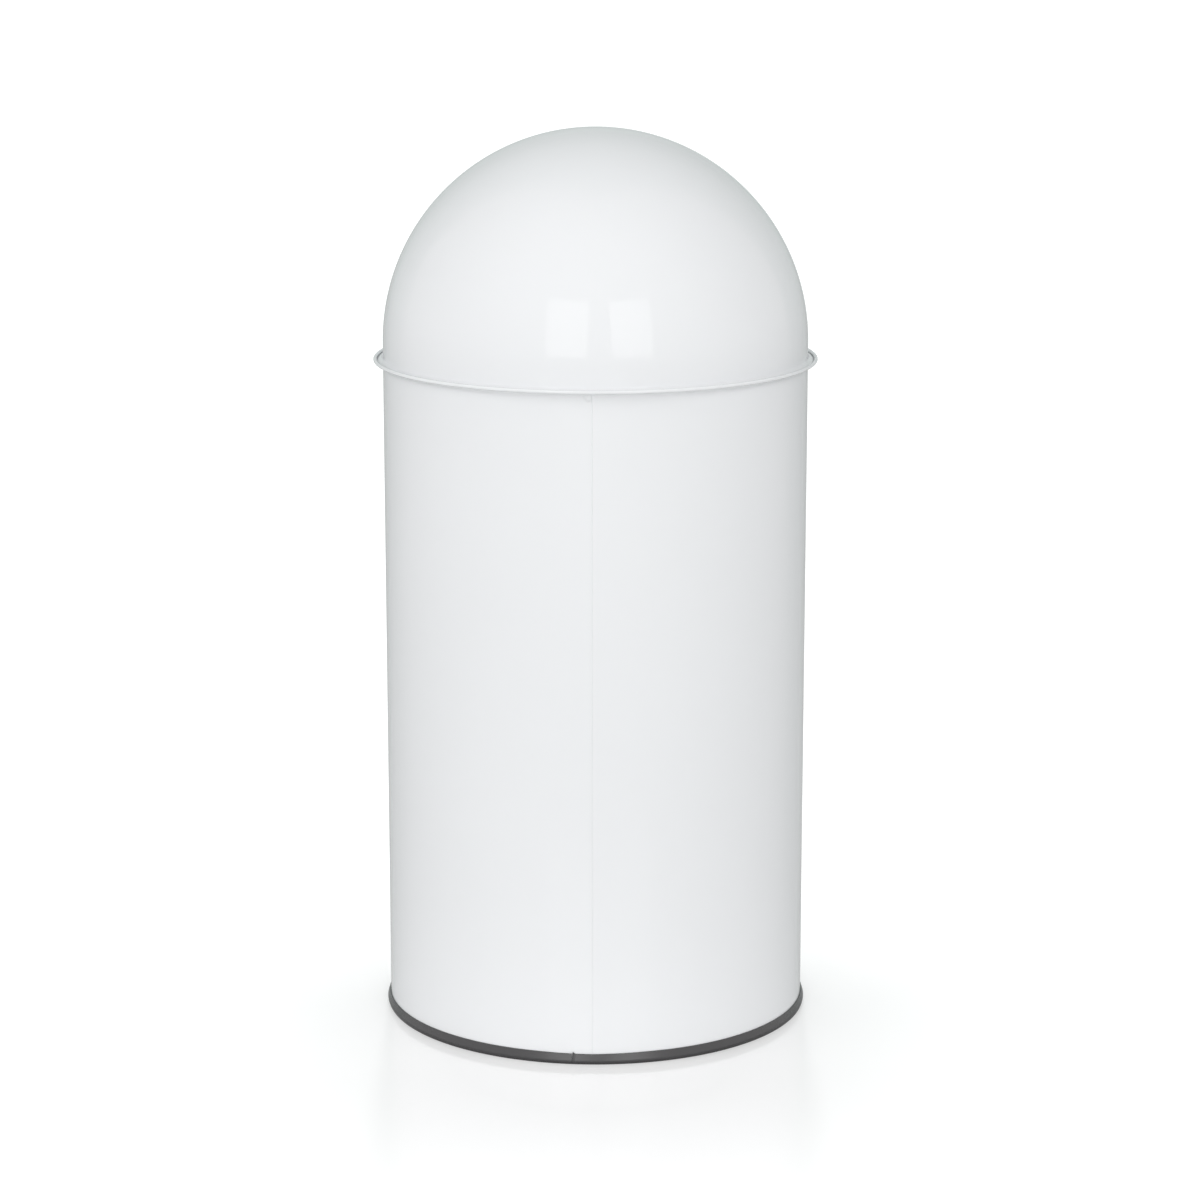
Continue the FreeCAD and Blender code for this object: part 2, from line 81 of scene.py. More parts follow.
camera_data = bpy.data.cameras.new("photo_camera")
camera_data.sensor_width = sensor_mm
camera_data.lens = lens_mm
camera = bpy.data.objects.new("photo_camera", camera_data)
camera.location = (camera_aside, camera_back, camera_height)
camera.rotation_euler = (math.pi / 2 - camera_pitch, 0, math.pi)
bpy.context.scene.collection.objects.link(camera)
bpy.context.scene.camera = camera
bpy.context.scene.view_settings.view_transform = "Standard"
print("lens", lens_mm, "mm at", tuple(round(value, 3) for value in camera.location))

# %% [markdown]
# ## Nodes in few words
# Every finish below is a small node tree. A few short helpers keep those trees readable: they add a node
# and fill its inputs, reckon with values, and make a noise that is measured in features per metre, because
# the pieces are modelled in metres and carry no unwrapped texture.

# %% Helpers for node trees
noise_span = (0.3, 0.7)


def feed(tree, socket, value):
    """Give a socket its value: another socket is linked, anything else is typed in."""
    if isinstance(value, bpy.types.NodeSocket):
        tree.links.new(value, socket)
    else:
        socket.default_value = value


def add_node(tree, kind, **inputs):
    """Add a node and feed its inputs, which are named with _ in place of a space."""
    node = tree.nodes.new(kind)
    for name, value in inputs.items():
        feed(tree, node.inputs[name.replace("_", " ")], value)
    return node


def reckon(tree, operation, *values):
    """The result of one step of arithmetic."""
    node = tree.nodes.new("ShaderNodeMath")
    node.operation = operation
    for socket, value in zip(node.inputs, values):
        feed(tree, socket, value)
    return node.outputs["Value"]


def remap(tree, value, given, wanted):
    """A grey value brought from one span into another."""
    node = add_node(tree, "ShaderNodeMapRange", Value=value, From_Min=given[0], From_Max=given[1])
    feed(tree, node.inputs["To Min"], wanted[0])
    feed(tree, node.inputs["To Max"], wanted[1])
    return node.outputs["Result"]


def place_of(tree):
    """The place on the piece, in metres."""
    return add_node(tree, "ShaderNodeTexCoord").outputs["Object"]


def noise(tree, place, per_metre, detail=2.0):
    """A grey noise with so many features to the metre."""
    node = add_node(tree, "ShaderNodeTexNoise", Vector=place, Scale=per_metre, Detail=detail)
    return node.outputs["Fac"]


def shade(tree, fac, first, last):
    """A colour that wanders between two tones."""
    node = tree.nodes.new("ShaderNodeMix")
    node.data_type = "RGBA"
    tree.links.new(fac, node.inputs["Factor"])
    node.inputs["A"].default_value = (*first, 1)
    node.inputs["B"].default_value = (*last, 1)
    return node.outputs["Result"]


def spread(tree, value, low, high):
    """A noise brought from its usual span into another one."""
    return remap(tree, value, noise_span, (low, high))


def dents(tree, height, depth):
    """Small ups and downs of a given depth in metres, as a bump."""
    node = add_node(tree, "ShaderNodeBump", Height=height, Distance=depth, Strength=1.0)
    return node.outputs["Normal"]


def new_finish(name):
    """An empty material with its surface shader, ready for nodes."""
    material = bpy.data.materials.new(name)
    material.use_nodes = True
    return material, material.node_tree, material.node_tree.nodes["Principled BSDF"]


finishes = {}
print("a noise is read between", *noise_span)

# %% [markdown]
# ## White powder coat
# Powder coat is melted paint. It is glossy, but it never flows quite flat: it keeps a fine ripple like
# the skin of an orange, and its tone drifts a little over a large sheet. A clear mirror would look like
# glass here, so the gloss is broken by two ripples, one of a few millimetres and one much finer.

# %% Make the white coat
coat_tones = ((0.832, 0.843, 0.857), (0.857, 0.868, 0.882))
drift_per_metre = 7.0
gloss_per_metre = 35.0
ripple_per_metre = 220.0
fine_per_metre = 1400.0
fine_share = 0.15
ripple_depth = 0.0015 * mm
coat_roughness = (0.02, 0.05)

finish, tree, surface = new_finish("white_coat")
place = place_of(tree)
tone = shade(tree, noise(tree, place, drift_per_metre), *coat_tones)
rough = spread(tree, noise(tree, place, gloss_per_metre), *coat_roughness)
fine_ripple = noise(tree, place, fine_per_metre)
ripple = reckon(tree, "MULTIPLY_ADD", fine_ripple, fine_share, noise(tree, place, ripple_per_metre))
tree.links.new(tone, surface.inputs["Base Color"])
tree.links.new(rough, surface.inputs["Roughness"])
tree.links.new(dents(tree, ripple, ripple_depth), surface.inputs["Normal"])
finishes["white_coat"] = finish
print("made", finish.name)

# %% [markdown]
# ## Charcoal strip, rubber and black grip
# The floor strip, the flap's pads and the handle's grip are moulded. The strip is satin with faint
# scuffs along its length, the pads are dull, and the grip has a fine leather-like grain. They share one
# recipe and differ in tone, in roughness and in the size of the grain.

# %% Make the moulded finishes
blotches_per_metre = 60.0
blotch_detail = 4.0
scuffs_per_metre = 150.0
scuff_detail = 3.0


def moulded(name, dark, light, rough_low, rough_high, grain_per_metre, grain_depth, gloss=0.5):
    """A moulded plastic or rubber with a fine grain."""
    finish, tree, surface = new_finish(name)
    place = place_of(tree)
    tone = shade(tree, noise(tree, place, blotches_per_metre, blotch_detail), dark, light)
    rough = spread(tree, noise(tree, place, scuffs_per_metre, scuff_detail), rough_low, rough_high)
    grain = noise(tree, place, grain_per_metre, scuff_detail)
    surface.inputs["Specular IOR Level"].default_value = gloss
    tree.links.new(tone, surface.inputs["Base Color"])
    tree.links.new(rough, surface.inputs["Roughness"])
    tree.links.new(dents(tree, grain, grain_depth), surface.inputs["Normal"])
    finishes[name] = finish
    print("made", name)


moulded("ring_plastic", (0.036, 0.0345, 0.0365), (0.04, 0.0385, 0.0405), 0.24, 0.27, 900.0, 0.002 * mm, 1.0)
moulded("bumper_rubber", (0.04, 0.04, 0.04), (0.06, 0.06, 0.06), 0.6, 0.75, 700.0, 0.04 * mm)
moulded("grip_plastic", (0.04, 0.04, 0.044), (0.06, 0.06, 0.065), 0.4, 0.52, 1100.0, 0.06 * mm)

# %% [markdown]
# ## Drawn wire
# The rod, the wire and the rivets are zinc plated, the spring and the clips are oiled spring steel. Both are
# drawn through a die, which leaves a fine grain and hardly any pattern, so a plain metal with a little
# unevenness in tone and roughness is enough.

# %% Make the drawn metals
patina_per_metre = 120.0
rubbing_per_metre = 500.0
drawing_per_metre = 1500.0
wear_detail = 4.0
drawing_depth = 0.008 * mm


def drawn_metal(name, dark, light, rough_low, rough_high):
    """A plain metal with a fine grain."""
    finish, tree, surface = new_finish(name)
    place = place_of(tree)
    tone = shade(tree, noise(tree, place, patina_per_metre, wear_detail), dark, light)
    rough = spread(tree, noise(tree, place, rubbing_per_metre, wear_detail), rough_low, rough_high)
    grain = noise(tree, place, drawing_per_metre)
    surface.inputs["Metallic"].default_value = 1.0
    tree.links.new(tone, surface.inputs["Base Color"])
    tree.links.new(rough, surface.inputs["Roughness"])
    tree.links.new(dents(tree, grain, drawing_depth), surface.inputs["Normal"])
    finishes[name] = finish
    print("made", name)


drawn_metal("zinc_steel", (0.58, 0.59, 0.60), (0.66, 0.67, 0.68), 0.24, 0.34)
drawn_metal("spring_steel", (0.38, 0.38, 0.39), (0.46, 0.46, 0.47), 0.26, 0.36)

# %% [markdown]
# ## Galvanised sheet
# The liner was dipped in molten zinc. The zinc cools into flat crystals that each catch the light in their
# own way. A noise would blur them into clouds, so the tone and the roughness come from a cell pattern, where
# every cell has one value of its own.

# %% Grow the zinc crystals
crystals_per_metre = 95.0
crystal_tones = ((0.50, 0.52, 0.54), (0.62, 0.64, 0.66))
crystal_roughness = (0.34, 0.5)
unevenness_per_metre = 400.0
unevenness_depth = 0.02 * mm

finish, tree, surface = new_finish("galvanised_sheet")
place = place_of(tree)
crystals = add_node(tree, "ShaderNodeTexVoronoi", Vector=place, Scale=crystals_per_metre, Randomness=1.0)
patch = add_node(tree, "ShaderNodeSeparateColor", Color=crystals.outputs["Color"])
tone = shade(tree, patch.outputs["Red"], *crystal_tones)
rough = remap(tree, patch.outputs["Green"], (0, 1), crystal_roughness)
unevenness = noise(tree, place, unevenness_per_metre)
surface.inputs["Metallic"].default_value = 1.0
tree.links.new(tone, surface.inputs["Base Color"])
tree.links.new(rough, surface.inputs["Roughness"])
tree.links.new(dents(tree, unevenness, unevenness_depth), surface.inputs["Normal"])
finishes["galvanised_sheet"] = finish
print("made", finish.name)

# %% [markdown]
# ## From points to a piece
# Nearly every piece of this bin was spun, rolled or drawn, so its mesh is a grid: rows follow the
# section, and columns go round. The helpers below join such a grid, turn its faces outward, give it a
# finish and hang it on its body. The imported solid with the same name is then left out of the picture.

# %% Helpers for grids
same_place = 1e-7
no_length = 1e-8
crease_angle = math.radians(50)


def grid_faces(rows, columns, close_rows, close_columns):
    """Four-sided faces of a grid of points, wrapped round where asked."""
    row = np.arange(rows if close_rows else rows - 1)[:, None]
    column = np.arange(columns if close_columns else columns - 1)[None, :]
    next_row = (row + 1) % rows
    next_column = (column + 1) % columns
    corners = [row * columns + column, row * columns + next_column]
    corners += [next_row * columns + next_column, next_row * columns + column]
    return np.stack(np.broadcast_arrays(*corners), axis=-1).reshape(-1, 4).tolist()


def dress(piece, node, slot):
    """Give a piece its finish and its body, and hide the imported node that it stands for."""
    piece.data.materials.clear()
    piece.data.materials.append(finishes[slot])
    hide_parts(node)
    bodies = frame["record"]["behaviour"]["bodies"]
    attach(piece, next(body for body, members in bodies.items() if node in members))


def make_mesh(name, parts):
    """A smooth closed mesh from (points, faces) parts, each turned outward."""
    work = bmesh.new()
    for points, faces in parts:
        corners = [work.verts.new(point) for point in np.reshape(points, (-1, 3))]
        for face in faces:
            work.faces.new([corners[index] for index in face])
    bmesh.ops.remove_doubles(work, verts=work.verts, dist=same_place)
    bmesh.ops.dissolve_degenerate(work, dist=no_length, edges=work.edges)
    bmesh.ops.recalc_face_normals(work, faces=work.faces)
    mesh = bpy.data.meshes.new(name)
    work.to_mesh(mesh)
    work.free()
    mesh.shade_smooth()
    mesh.set_sharp_from_angle(angle=crease_angle)
    piece = bpy.data.objects.new(name, mesh)
    bpy.context.scene.collection.objects.link(piece)
    return piece


print("edges stay creased beyond", round(math.degrees(crease_angle)), "degrees")

# %% [markdown]
# ## Sections with rounded corners
# Sheet metal has no sharp corners: a cut edge is a little round once it is coated. A section is written
# as corners with a rounding each. The helper turns each corner into an arc and adds a point close to
# both of its ends, which keeps the smooth shading of a long flat stretch from leaning into the corner.

# %% Helpers for sections
most_of_side = 0.45
holding_point = 1.5
holding_limit = 1.1


def arc(centre, radius, first, last, steps):
    """Points along part of a circle, from one angle in degrees to another."""
    angles = np.radians(np.linspace(first, last, steps + 1))
    return [(centre[0] + radius * math.cos(a), centre[1] + radius * math.sin(a)) for a in angles]


def rounded(corners, steps=5, closed=True):
    """An outline from (across, up, rounding) corners. A rounding of zero keeps the corner as a point."""
    outline = []
    count = len(corners)
    for index, (across, up, rounding) in enumerate(corners):
        here = Vector((across, up))
        ends_open = not closed and index in (0, count - 1)
        if rounding == 0 or ends_open:
            outline.append((across, up))
            continue
        before = Vector(corners[index - 1][:2]) - here
        after = Vector(corners[(index + 1) % count][:2]) - here
        room = most_of_side * min(before.length, after.length)
        before.normalize()
        after.normalize()
        half = before.angle(after) / 2
        reach = min(rounding / math.tan(half), room)
        size = reach * math.tan(half)
        middle = here + (before + after).normalized() * (size / math.sin(half))
        start = here + before * reach - middle
        turn = math.copysign(math.pi - 2 * half, start.x * after.y - start.y * after.x)
        hold = min(holding_point * reach, holding_limit * room)
        outline.append(tuple(here + before * hold))
        for step in range(steps + 1):
            angle = turn * step / steps
            spoke = (
                start.x * math.cos(angle) - start.y * math.sin(angle),
                start.x * math.sin(angle) + start.y * math.cos(angle),
            )
            outline.append((middle.x + spoke[0], middle.y + spoke[1]))
        outline.append(tuple(here + after * hold))
    return outline


def plain(points):
    """Corners without rounding, for arcs that are already smooth."""
    return [(across, up, 0) for across, up in points]


def spin(outline, angles):
    """Rows of points from turning a (radius, height) outline to each of the angles."""
    section = np.array(outline)
    radius = section[:, :1]
    height = np.repeat(section[:, 1:], len(angles), axis=1)
    return np.stack([radius * np.cos(angles), radius * np.sin(angles), height], axis=-1)


def full_turn(columns):
    """Evenly spread angles of one turn."""
    return np.linspace(0, 2 * math.pi, columns, endpoint=False)


def turned_part(outline, angles, closed=True):
    """Points and faces of a turned piece. An open outline starts and ends on the axis."""
    points = spin(outline, angles)
    return points, grid_faces(len(outline), len(angles), closed, True)


square = [(0, 0, mm), (10 * mm, 0, mm), (10 * mm, 10 * mm, mm), (0, 10 * mm, mm)]
print("a rounded corner has", len(rounded(square)) // len(square), "points")

# %% [markdown]
# ## Body tube
# The body is one sheet, rolled into a tube. Its top is flanged outward and curled into a small bead, and the
# flange dips into a shallow valley before the bead, which shows as a dark stroke at both ends of the rim. The
# section is drawn once, up the outside and down the inside, and is turned round the upright axis.

# %% Draw the tube's section
tube_radius = 175.0 * mm
tube_sheet = 0.6 * mm
tube_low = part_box("body_shell")[0].z
rim_height = 550.0 * mm
rim_bend = 2.0 * mm
bead_radius = 1.45 * mm
bead_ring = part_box("body_shell")[1].x - bead_radius
valley_depth = 0.57 * mm
valley_start = tube_radius + rim_bend + 0.5 * mm
valley_slope = 0.6 * mm
edge_rounding = 0.15 * mm
bend_steps = 8
bead_steps = 22
plain_rows = [100, 200, 300, 400, 480, 520, 533]
close_rows = [537 + 0.5 * step for step in range(21)]
inside_rows = [546, 543, 540]

tube_inside = tube_radius - tube_sheet
seat_height = rim_height + tube_sheet
bend_centre = (tube_radius + rim_bend, rim_height - rim_bend)
bead_centre = (bead_ring, rim_height + bead_radius)
valley_under = rim_height - valley_depth
valley_floor = seat_height - valley_depth
valley_end = bead_ring - 0.5 * bead_radius
bead_end = 180 + math.degrees(math.asin((bead_centre[1] - valley_floor) / bead_radius))
body_corners = [(tube_inside, tube_low, edge_rounding), (tube_radius, tube_low, edge_rounding)]
body_corners += plain([(tube_radius, row * mm) for row in plain_rows + close_rows])
body_corners += plain(arc(bend_centre, rim_bend, 180, 90, bend_steps))
body_corners += plain([(valley_start, rim_height), (valley_start + valley_slope, valley_under)])
body_corners += plain([(valley_end, valley_under)])
body_corners += plain(arc(bead_centre, bead_radius, -90, bead_end, bead_steps))
body_corners += plain([(valley_start + valley_slope, valley_floor), (valley_start, seat_height)])
body_corners += plain(arc(bend_centre, rim_bend + tube_sheet, 90, 180, bend_steps))
body_corners += plain([(tube_inside, row * mm) for row in inside_rows])
print("tube section of", len(body_corners), "corners, rim at", round(rim_height / mm, 1), "mm")

# %% [markdown]
# ## Weld seam
# The sheet's edges meet at the back. The weld shows as a hair-thin dark line beside a faint step, and a drop
# of weld metal under the rim was left in place. Paint on a plain cylinder would show none of it from the
# side, so the columns crowd together at the seam, and the points there are pushed in for the line and out
# for the step and the drop.

# %% Turn the tube and press the seam into it
body_columns = 360
camera_side = 90
seam_aside = 0.8
seam_angle = math.radians(camera_side - seam_aside)
seam_half_width = 0.45 * mm
seam_depth = 0.35 * mm
seam_flatness = 1.3
lap_width = 6.0 * mm
lap_rise = 0.1 * mm
drop_aside = 2.9 * mm
drop_height = 546.3 * mm
drop_radius = 2.7 * mm
drop_rise = 1.2 * mm
skin = 0.1 * mm

beside_seam = [-8, -7.2, -6.5, -6, -5.5, -5, -4.5, -4, -3.5, -3, -2.5, -2, -1.5, -1.1, -0.8]
across_seam = [-0.55, -0.45, -0.3, -0.15, 0, 0.15, 0.3, 0.45, 0.55, 0.8, 1.2, 2]
seam_steps = np.array(beside_seam + across_seam) * mm / tube_radius
body_turn = seam_angle + np.linspace(seam_steps[-1], 2 * math.pi + seam_steps[0], body_columns)
body_turn = np.concatenate([seam_angle + seam_steps, body_turn[1:-1]])

body_points = spin(rounded(body_corners), body_turn)
radius = np.hypot(body_points[..., 0], body_points[..., 1])
height = body_points[..., 2]
from_seam = np.arctan2(body_points[..., 1], body_points[..., 0]) - seam_angle
from_seam = np.angle(np.exp(1j * from_seam)) * tube_radius
outside = radius > tube_radius - skin
below_rim = np.clip((rim_height - rim_bend - height) / rim_bend, 0, 1)
groove = seam_depth * np.clip(seam_flatness * (1 - np.abs(from_seam) / seam_half_width), 0, 1) * below_rim
lap = lap_rise * np.clip(1 + from_seam / lap_width, 0, 1) * (from_seam < 0) * below_rim
drop_reach = np.hypot(from_seam + drop_aside, height - drop_height) / drop_radius
drop = drop_rise * np.exp(-drop_reach ** 4) * (height < rim_height - skin)
body_points[..., :2] *= (1 + (drop + lap - groove) * outside / radius)[..., None]
body_faces = grid_faces(*body_points.shape[:2], True, True)
body_shell = make_mesh("body_tube", [(body_points, body_faces)])
dress(body_shell, "body_shell", "white_coat")

# %% [markdown]
# ## Bottom pan
# A flanged disc closes the tube a little above the floor. It is spun like the tube, with an outline that
# starts and ends on the axis.

# %% Turn the bottom pan
pan_low, pan_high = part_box("bottom_pan")
pan_radius = pan_high.x
pan_sheet = 0.7 * mm
pan_bend = 2.0 * mm
pan_columns = 192
pan_halfway = pan_radius * 0.5
pan_inside = pan_radius - pan_sheet
pan_under = pan_high.z - pan_sheet
pan_corners = [(0, pan_high.z, 0), (pan_halfway, pan_high.z, 0), (pan_radius, pan_high.z, pan_bend)]
pan_corners += [(pan_radius, pan_low.z, edge_rounding), (pan_inside, pan_low.z, edge_rounding)]
pan_corners += [(pan_inside, pan_under, pan_bend - pan_sheet), (pan_halfway, pan_under, 0), (0, pan_under, 0)]
pan = turned_part(rounded(pan_corners, closed=False), full_turn(pan_columns), closed=False)
bottom_pan = make_mesh("floor_pan", [pan])
dress(bottom_pan, "bottom_pan", "white_coat")

# %% [markdown]
# ## Floor strip
# A dark U-shaped strip is pressed over the bottom edge, so that steel never scrapes the floor. Its outer face
# leans inward above the widest line, and its foot is tucked in a little. The section is written corner by
# corner, from the inside of the foot round the outside and over both lips.

# %% Draw the strip's section
strip_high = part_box("base_ring")[1]
strip_radius = strip_high.x
strip_height = strip_high.z
strip_wall = 2.7 * mm
strip_inner_wall = 2.2 * mm
strip_web = tube_low
strip_inside = 171.3 * mm
widest_height = 0.3 * strip_height
foot_tuck = 0.9 * mm
face_lean = 2.0 * mm
strip_rounding = 0.5 * mm
belly_rounding = 3.0 * mm
lip_rounding = 0.1 * mm
inner_rounding = 0.3 * mm

slot_outside = strip_radius - strip_wall
slot_inside = strip_inside + strip_inner_wall
strip_corners = [
    (strip_inside, 0, strip_rounding),
    (strip_radius - foot_tuck, 0, strip_rounding),
    (strip_radius, widest_height, belly_rounding),
    (strip_radius - face_lean, strip_height, strip_rounding),
    (slot_outside, strip_height, lip_rounding),
    (slot_outside, strip_web, edge_rounding),
    (slot_inside, strip_web, edge_rounding),
    (slot_inside, strip_height, inner_rounding),
    (strip_inside, strip_height, inner_rounding),
]
strip_outline = rounded(strip_corners, steps=8)
print("strip", round(strip_height / mm, 1), "mm high at radius", round(strip_radius / mm, 1), "mm")

# %% [markdown]
# ## The strip's joint
# The strip is cut to length, and its two ends meet at the back with a hair of a gap. One end has sprung up
# and leans back, so the joint opens upward, and the strip sags a little under the weld. A full turn would
# hide the joint, so the section is swept from one end to the other, the points near the joint are lifted, and
# both ends are closed with their own face.

# %% Bend the strip round the base
strip_columns = 340
end_columns = 20
joint_aside = 6.2
joint_angle = math.radians(camera_side - joint_aside)
joint_half_gap = 0.06 * mm / strip_radius
joint_opening = 0.7 * mm
lift_rise = 1.8 * mm
lift_length = 3.0 * mm
lift_outward = 0.3
dip_depth = 0.7 * mm
dip_length = 45.0 * mm

strip_sweep = 2 * math.pi - 2 * joint_half_gap
near_end = np.linspace(0, 2 * lift_length / strip_radius, end_columns)
strip_turn = np.linspace(near_end[-1], strip_sweep - near_end[-1], strip_columns)
strip_turn = np.concatenate([near_end[:-1], strip_turn, strip_sweep - near_end[-2::-1]])
strip_angles = joint_angle + joint_half_gap + strip_turn
strip_points = spin(strip_outline, strip_angles)
to_end = np.clip(1 - strip_turn * strip_radius / lift_length, 0, 1)
lift = lift_rise * to_end ** 2
from_seam = np.angle(np.exp(1j * (strip_angles - seam_angle))) * strip_radius
dip = dip_depth * np.clip(1 - np.abs(from_seam) / dip_length, 0, 1)
above_web = np.clip((strip_points[..., 2] - strip_web) / (strip_height - strip_web), 0, 1)
strip_points[..., :2] *= (1 + lift_outward * lift * above_web / strip_radius)[..., None]
turn_back = joint_opening / strip_radius * to_end * above_web ** 2
strip_across = np.stack([-strip_points[..., 1], strip_points[..., 0]], axis=-1)
strip_points[..., :2] += turn_back[..., None] * strip_across
strip_points[..., 2] += (lift - dip) * above_web
columns = len(strip_turn)
strip_faces = grid_faces(len(strip_outline), columns, True, False)
for column in (0, columns - 1):
    strip_faces.append([row * columns + column for row in range(len(strip_outline))])
floor_strip = make_mesh("floor_strip", [(strip_points, strip_faces)])
dress(floor_strip, "base_ring", "ring_plastic")

# %% [markdown]
# ## Dome head
# The head is a pressed hemisphere with a short straight wall and a foot that flares out onto the rim.
# The opening for the flap is cut through its front. Cutting a finished ball would leave long thin faces
# round the opening, so the grid is laid out for it: every column starts at the foot, climbs to the widest
# line, runs over the ball to one point of the opening's edge, folds over that edge and comes back inside.
# The way over the ball is a straight line on a flat map whose middle is the dome's top.

# %% Helpers for the opening and the map
dome_radius = 175.0 * mm
dome_sheet = 0.8 * mm
dome_centre = Vector((0, 0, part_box("dome_shell")[1].z - dome_radius))
opening_half_width = 110.0 * mm
opening_half_height = 75.0 * mm
opening_corner = 30.0 * mm
opening_tilt = math.radians(32.166)
opening_out = np.array((0, -math.cos(opening_tilt), math.sin(opening_tilt)))
opening_up = np.array((0, math.sin(opening_tilt), math.cos(opening_tilt)))
sideways = np.array((1.0, 0, 0))


def rounded_rectangle(half_width, half_height, corner, steps):
    """Many points round a rectangle with rounded corners, once round."""
    points = []
    for side, level, first in ((1, 1, 0), (-1, 1, 90), (-1, -1, 180), (1, -1, 270)):
        centre = (side * (half_width - corner), level * (half_height - corner))
        points += arc(centre, corner, first, first + 90, steps)
    points.append(points[0])
    return np.array(points)


def along(points, shares):
    """Points at given shares of a path's own measure, which runs from 0 to 1."""
    lengths = np.linalg.norm(np.diff(points, axis=0), axis=1)
    measure = np.concatenate([[0], np.cumsum(lengths)]) / lengths.sum()
    return np.stack([np.interp(shares, measure, points[:, axis]) for axis in range(points.shape[1])], 1)


def on_ball(outline, reach):
    """Directions from the dome's centre to an outline seen along the opening's own direction."""
    out = np.sqrt(reach ** 2 - (outline ** 2).sum(axis=1))
    places = outline[:, :1] * sideways + outline[:, 1:] * opening_up + out[:, None] * opening_out
    return places / reach


def to_map(ways):
    """Directions as places on a flat map round the dome's top."""
    from_top = np.arccos(np.clip(ways[:, 2], -1, 1))
    angle = np.arctan2(ways[:, 1], ways[:, 0])
    return np.stack([from_top * np.cos(angle), from_top * np.sin(angle)], axis=1)


def from_map(places):
    """Places on that flat map as directions."""
    from_top = np.hypot(places[..., 0], places[..., 1])
    angle = np.arctan2(places[..., 1], places[..., 0])
    level = np.sin(from_top)
    return np.stack([level * np.cos(angle), level * np.sin(angle), np.cos(from_top)], axis=-1)


print("opening of", round(2 * opening_half_width / mm), "by", round(2 * opening_half_height / mm), "mm")

# %% [markdown]
# ## The columns' ways over the ball
# On the flat map, each column starts on the circle of the widest line and ends on the opening's edge. Even
# steps along one of the two would crowd the columns on the other, so the steps are shared out half by the
# edge's length and half by the circle's.

# %% Lead the columns to the opening
dome_columns = 400
corner_steps = 24
edge_samples = 2001
middle_reach = dome_radius - dome_sheet / 2
outline = rounded_rectangle(opening_half_width, opening_half_height, opening_corner, corner_steps)
outline = along(outline, np.linspace(0, 1, edge_samples))
edge_map = to_map(on_ball(outline, middle_reach))
hub = to_map(opening_out[None, :])[0]
spokes = edge_map - hub
lengths = (spokes ** 2).sum(axis=1)
forward = (spokes * hub).sum(axis=1)
short_of = (hub ** 2).sum() - (math.pi / 2) ** 2
stretch = (-forward + np.sqrt(forward ** 2 - lengths * short_of)) / lengths
base_map = hub + spokes * stretch[:, None]
edge_steps = np.linalg.norm(np.diff(outline, axis=0), axis=1)
base_steps = np.linalg.norm(np.diff(base_map, axis=0), axis=1)
share = (edge_steps / edge_steps.sum() + base_steps / base_steps.sum()) / 2
share = np.concatenate([[0], np.cumsum(share)])
wanted = np.linspace(0, 1, dome_columns, endpoint=False)
edge_map = np.stack([np.interp(wanted, share, edge_map[:, axis]) for axis in (0, 1)], axis=1)
base_map = np.stack([np.interp(wanted, share, base_map[:, axis]) for axis in (0, 1)], axis=1)
print("dome columns", dome_columns, "lead to an opening tilted up", round(math.degrees(opening_tilt), 2))

# %% [markdown]
# ## Dome head, from foot to opening
# The same columns give both skins of the sheet. The outside goes up from the foot's lip to the opening,
# a half round closes the cut edge, and the inside goes back down. The sheet stays equally thick all over.

# %% Build the dome's skins
foot_bend = 3.0 * mm
lip_reach = 179.0 * mm
lip_top = seat_height + dome_sheet
half_sheet = dome_sheet / 2
base_angle = np.arctan2(base_map[:, 1], base_map[:, 0])
foot_centre = (dome_radius + foot_bend, lip_top + foot_bend)
inside_wall = dome_radius - dome_sheet
wall_rows = [dome_centre.z - below * mm for below in (8, 3)]
lip_steps = 6
foot_steps = 10
fold_steps = 9
over_steps = 64
last_row = 0.995
last_gap = 0.01
outside_foot = arc((lip_reach - half_sheet, seat_height + half_sheet), half_sheet, -90, 90, lip_steps)
outside_foot += arc(foot_centre, foot_bend, 270, 180, foot_steps)
outside_foot += [(dome_radius, row) for row in wall_rows]
inside_foot = [(inside_wall, row) for row in wall_rows[::-1]]
inside_foot += arc(foot_centre, foot_bend + dome_sheet, 180, 270, foot_steps)

over_rows = np.concatenate([np.linspace(0, last_row - last_gap, over_steps), [last_row]])
stop_short = edge_map - base_map
stop_length = np.linalg.norm(stop_short, axis=1, keepdims=True)
edge_stop = edge_map - stop_short / stop_length * (half_sheet / middle_reach)
over_map = base_map + over_rows[:, None, None] * (edge_stop - base_map)
over_ways = from_map(over_map)
stop_ways = from_map(edge_stop)
edge_ways = from_map(edge_map)
towards = edge_ways - stop_ways
towards -= (towards * stop_ways).sum(axis=1, keepdims=True) * stop_ways
towards /= np.linalg.norm(towards, axis=1, keepdims=True)
fold = np.radians(np.linspace(90, -90, fold_steps))[:, None, None]
edge_fold = middle_reach * stop_ways + half_sheet * (np.cos(fold) * towards + np.sin(fold) * stop_ways)
centre_point = np.array(dome_centre)
dome_points = np.concatenate([
    spin(outside_foot, base_angle),
    centre_point + dome_radius * over_ways,
    centre_point + edge_fold,
    centre_point + inside_wall * over_ways[::-1],
    spin(inside_foot, base_angle),
])
dome_faces = grid_faces(*dome_points.shape[:2], True, True)
dome_shell = make_mesh("dome_head", [(dome_points, dome_faces)])
dress(dome_shell, "dome_shell", "white_coat")

# %% [markdown]
# ## Locating band
# A plain band inside the foot keeps the head centred in the tube. It only shows when the head is off.

